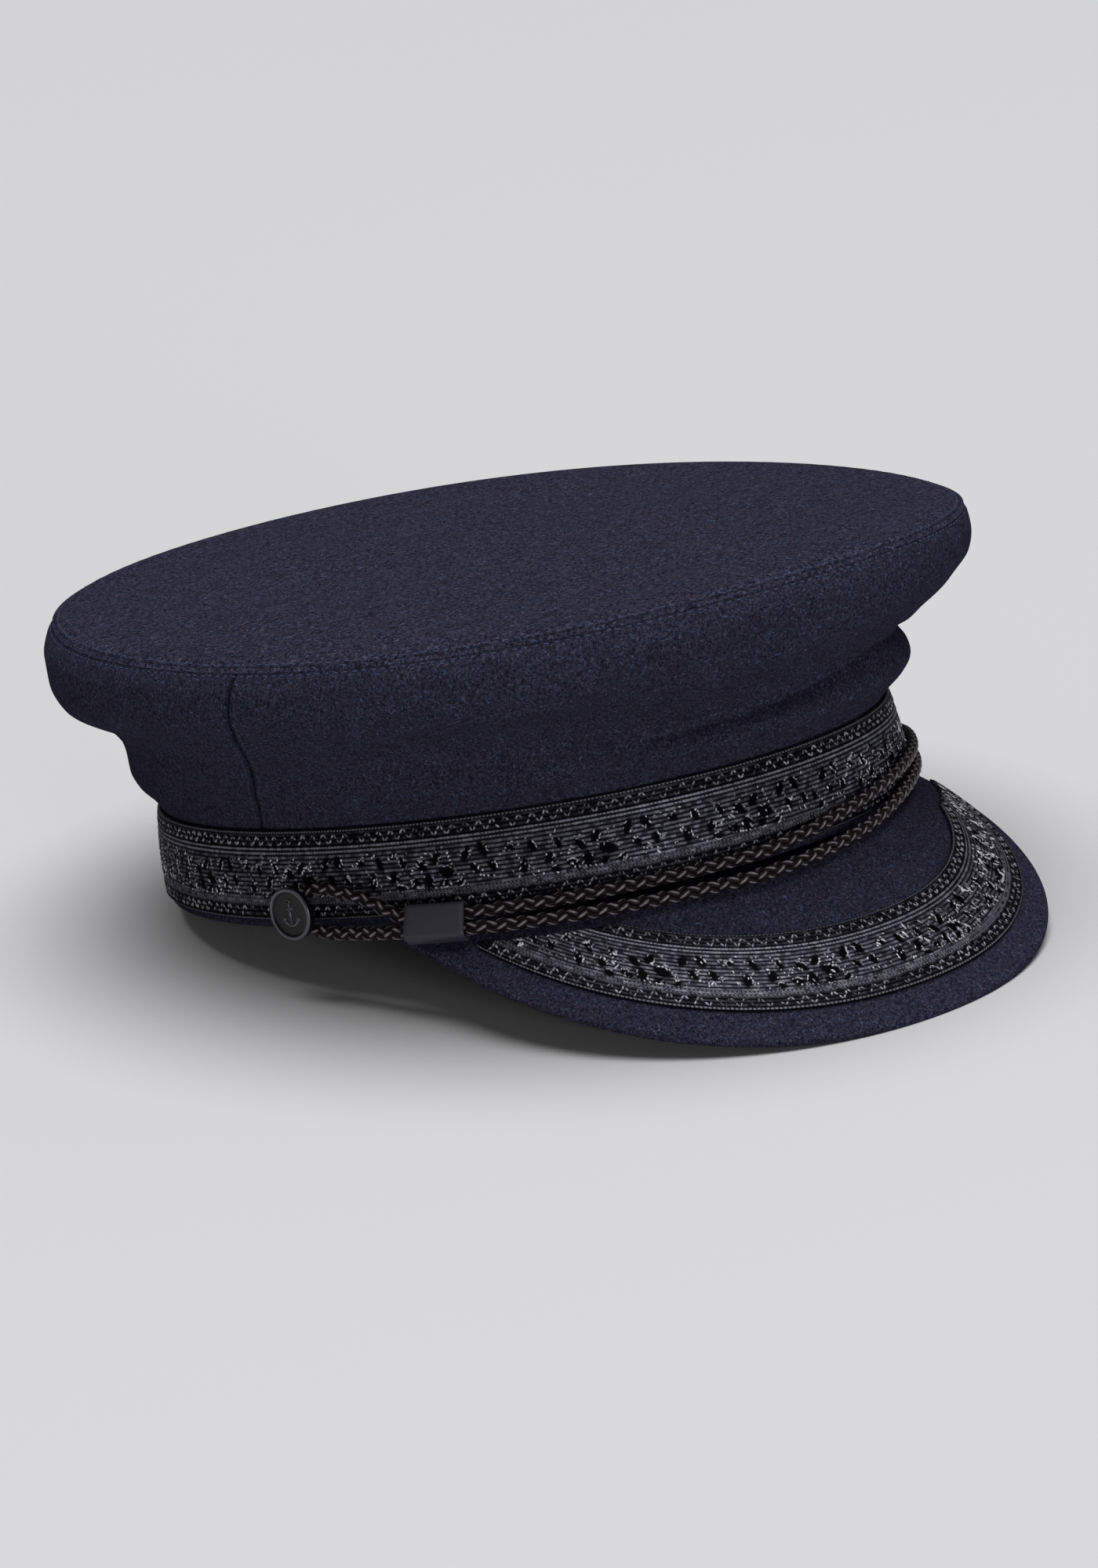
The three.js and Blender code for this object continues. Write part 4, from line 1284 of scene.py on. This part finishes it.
def sliderSleeve(side):
    s = sliderSettings
    halfTurn = math.degrees(s["length"] / capSizes["headLength"])
    high = cordPitch / 2 * s["held"] + cordRadius + capSizes["fitGap"]
    deep = cordRadius + capSizes["fitGap"]
    stations = np.linspace(-1, 1, 15)
    loops = []

    def loopAt(place, grow):
        centre, upward = routeFrame(*routeAt(s[side] + place * halfTurn))
        ahead = routeFrame(*routeAt(s[side] + place * halfTurn - 1))[0] - centre
        outward = unit(np.cross(unit(ahead), upward))
        corner = max(s["corner"] + grow - s["wall"], 0.3)
        loop = []
        for outSign, upSign, start in ((1, 1, 0), (-1, 1, 90), (-1, -1, 180), (1, -1, 270)):
            for turn in np.linspace(0, 90, 7):
                t = math.radians(start + turn)
                outOf = outSign * (deep + grow - corner) + corner * math.cos(t)
                upOf = upSign * (high + grow - corner) + corner * math.sin(t)
                loop.append(centre + outward * outOf + upward * upOf)
        return np.array(loop)

    # along the outside, round one rim, back along the inside and round the other rim
    for place in stations:
        loops.append(loopAt(place, s["wall"] if abs(place) < 0.99 else s["wall"] - s["eased"]))
    loops.append(loopAt(1.0, s["wall"] / 2))
    for place in stations[::-1]:
        loops.append(loopAt(place, 0.0 if abs(place) < 0.99 else s["eased"]))
    loops.append(loopAt(-1.0, s["wall"] / 2))
    grid = np.stack(loops)
    faces = foldedFaces(*grid.shape[:2], True)
    piece = linkMesh(f"slider_sleeve_{side}", grid, faces, slateMetal)
    fixFacing(piece)
    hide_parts(f"slider_{side}")
    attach(piece, "root")


sliderSleeve("right")
sliderSleeve("left")

buttonSettings = {
    "diameter": 12.9, "thick": 1.8, "rim": 0.84, "dish": 0.5, "shank": 2.4, "bend": 0.4,
    "around": 81.5, "rise": 5.4,  # degrees round the band and millimetres up it
    # a plain anchor in low relief: strokes of points across and up the face, and their width
    "anchorScale": 0.98,
    "anchor": [
        ([(0, 2.5), (0, -2.6)], 0.34), ([(-1.3, 1.35), (1.3, 1.35)], 0.3),
        ([(-2.4, -1.1), (-1.9, -2.1), (-1.0, -2.7), (0, -2.95), (1.0, -2.7), (1.9, -2.1), (2.4, -1.1)],
         0.36),
        ([(-0.62, 3.1), (0, 3.62), (0.62, 3.1), (0, 2.55), (-0.62, 3.1)], 0.2),
        ([(-2.85, -1.75), (-2.4, -0.8), (-1.75, -1.5)], 0.26),
        ([(2.85, -1.75), (2.4, -0.8), (1.75, -1.5)], 0.26),
    ],
}


def buttonDisc(side, sign):
    b = buttonSettings
    radius = b["diameter"] / 2
    back = cordSettings["diameter"] + 3 * capSizes["fitGap"]
    face = back + b["thick"]
    shank, bend, inner = b["shank"] / 2, b["bend"], radius - b["rim"]
    floor = face - b["dish"]
    # (radius, height) from the foot of the shank round the disc's edge to the middle of its dish
    profile = [(0, 0.3), (shank, 0.3), (shank, back - 0.2), (shank + 0.3, back), (radius - bend, back)]
    for t in np.linspace(0.3, np.pi / 2, 5):
        profile.append((radius - bend + bend * math.sin(t), back + bend - bend * math.cos(t)))
    for t in np.linspace(0.15, np.pi / 2, 6):
        profile.append((radius - bend + bend * math.cos(t), face - bend + bend * math.sin(t)))
    profile += [
        (inner + 0.12, face), (inner - 0.08, face - 0.08), (inner - 0.35, floor + 0.06),
        (inner - 0.6, floor), (inner * 0.5, floor + 0.05), (0.4, floor + 0.08),
    ]
    columns = 72
    turn = np.linspace(0, 2 * np.pi, columns, endpoint=False)
    angle = sign * math.radians(b["around"])
    outward = ovalNormal(np.array(angle))
    up = np.array([0, 0, 1.0])
    along = np.cross(up, outward)
    centre = bandPoint(np.array(angle), bandDepth, b["rise"])
    spoke = along * np.cos(turn)[:, None] + up * np.sin(turn)[:, None]
    grid = np.stack([centre + outward * high + spoke * max(wide, 0.01) for wide, high in profile])
    faces = gridFaces(len(profile), columns, 0, True)
    faces.append(list(range(columns)))
    last = (len(profile) - 1) * columns
    faces.append([last + j for j in range(columns)])
    points = list(grid.reshape(-1, 3))
    discFaces = len(faces)
    for path, width in b["anchor"]:
        path = np.array(path, float) * b["anchorScale"]
        line = centre + outward * (floor + 0.05) + along * path[:, :1] + up * path[:, 1:]
        wide = unit(np.cross(unit(np.gradient(line, axis=0)), outward)) * width
        joinMesh(points, faces, *tubeMesh(line, wide, np.broadcast_to(outward * 0.3, line.shape), 8))
    piece = linkMesh(f"button_disc_{side}", points, faces, blackMetal)
    # the raised rim and the anchor get a lighter, more metallic finish than the face: rubbed metal, with a
    # painted highlight in its lighter colour
    piece.data.materials.append(rimMetal)
    middle = Vector(toRow(centre))
    axis = Vector(toRow(centre + outward) - toRow(centre)).normalized()
    for polygon in piece.data.polygons:
        arm = polygon.center - middle
        above = arm.dot(axis)
        away = (arm - axis * above).length * 1000
        if polygon.index >= discFaces or (away > inner - 0.1 and above * 1000 > face - 0.3):
            polygon.material_index = 1
    fixFacing(piece)
    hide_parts(f"button_{side}")
    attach(piece, "root")


buttonDisc("right", 1)
buttonDisc("left", -1)
print("sliders and buttons made")
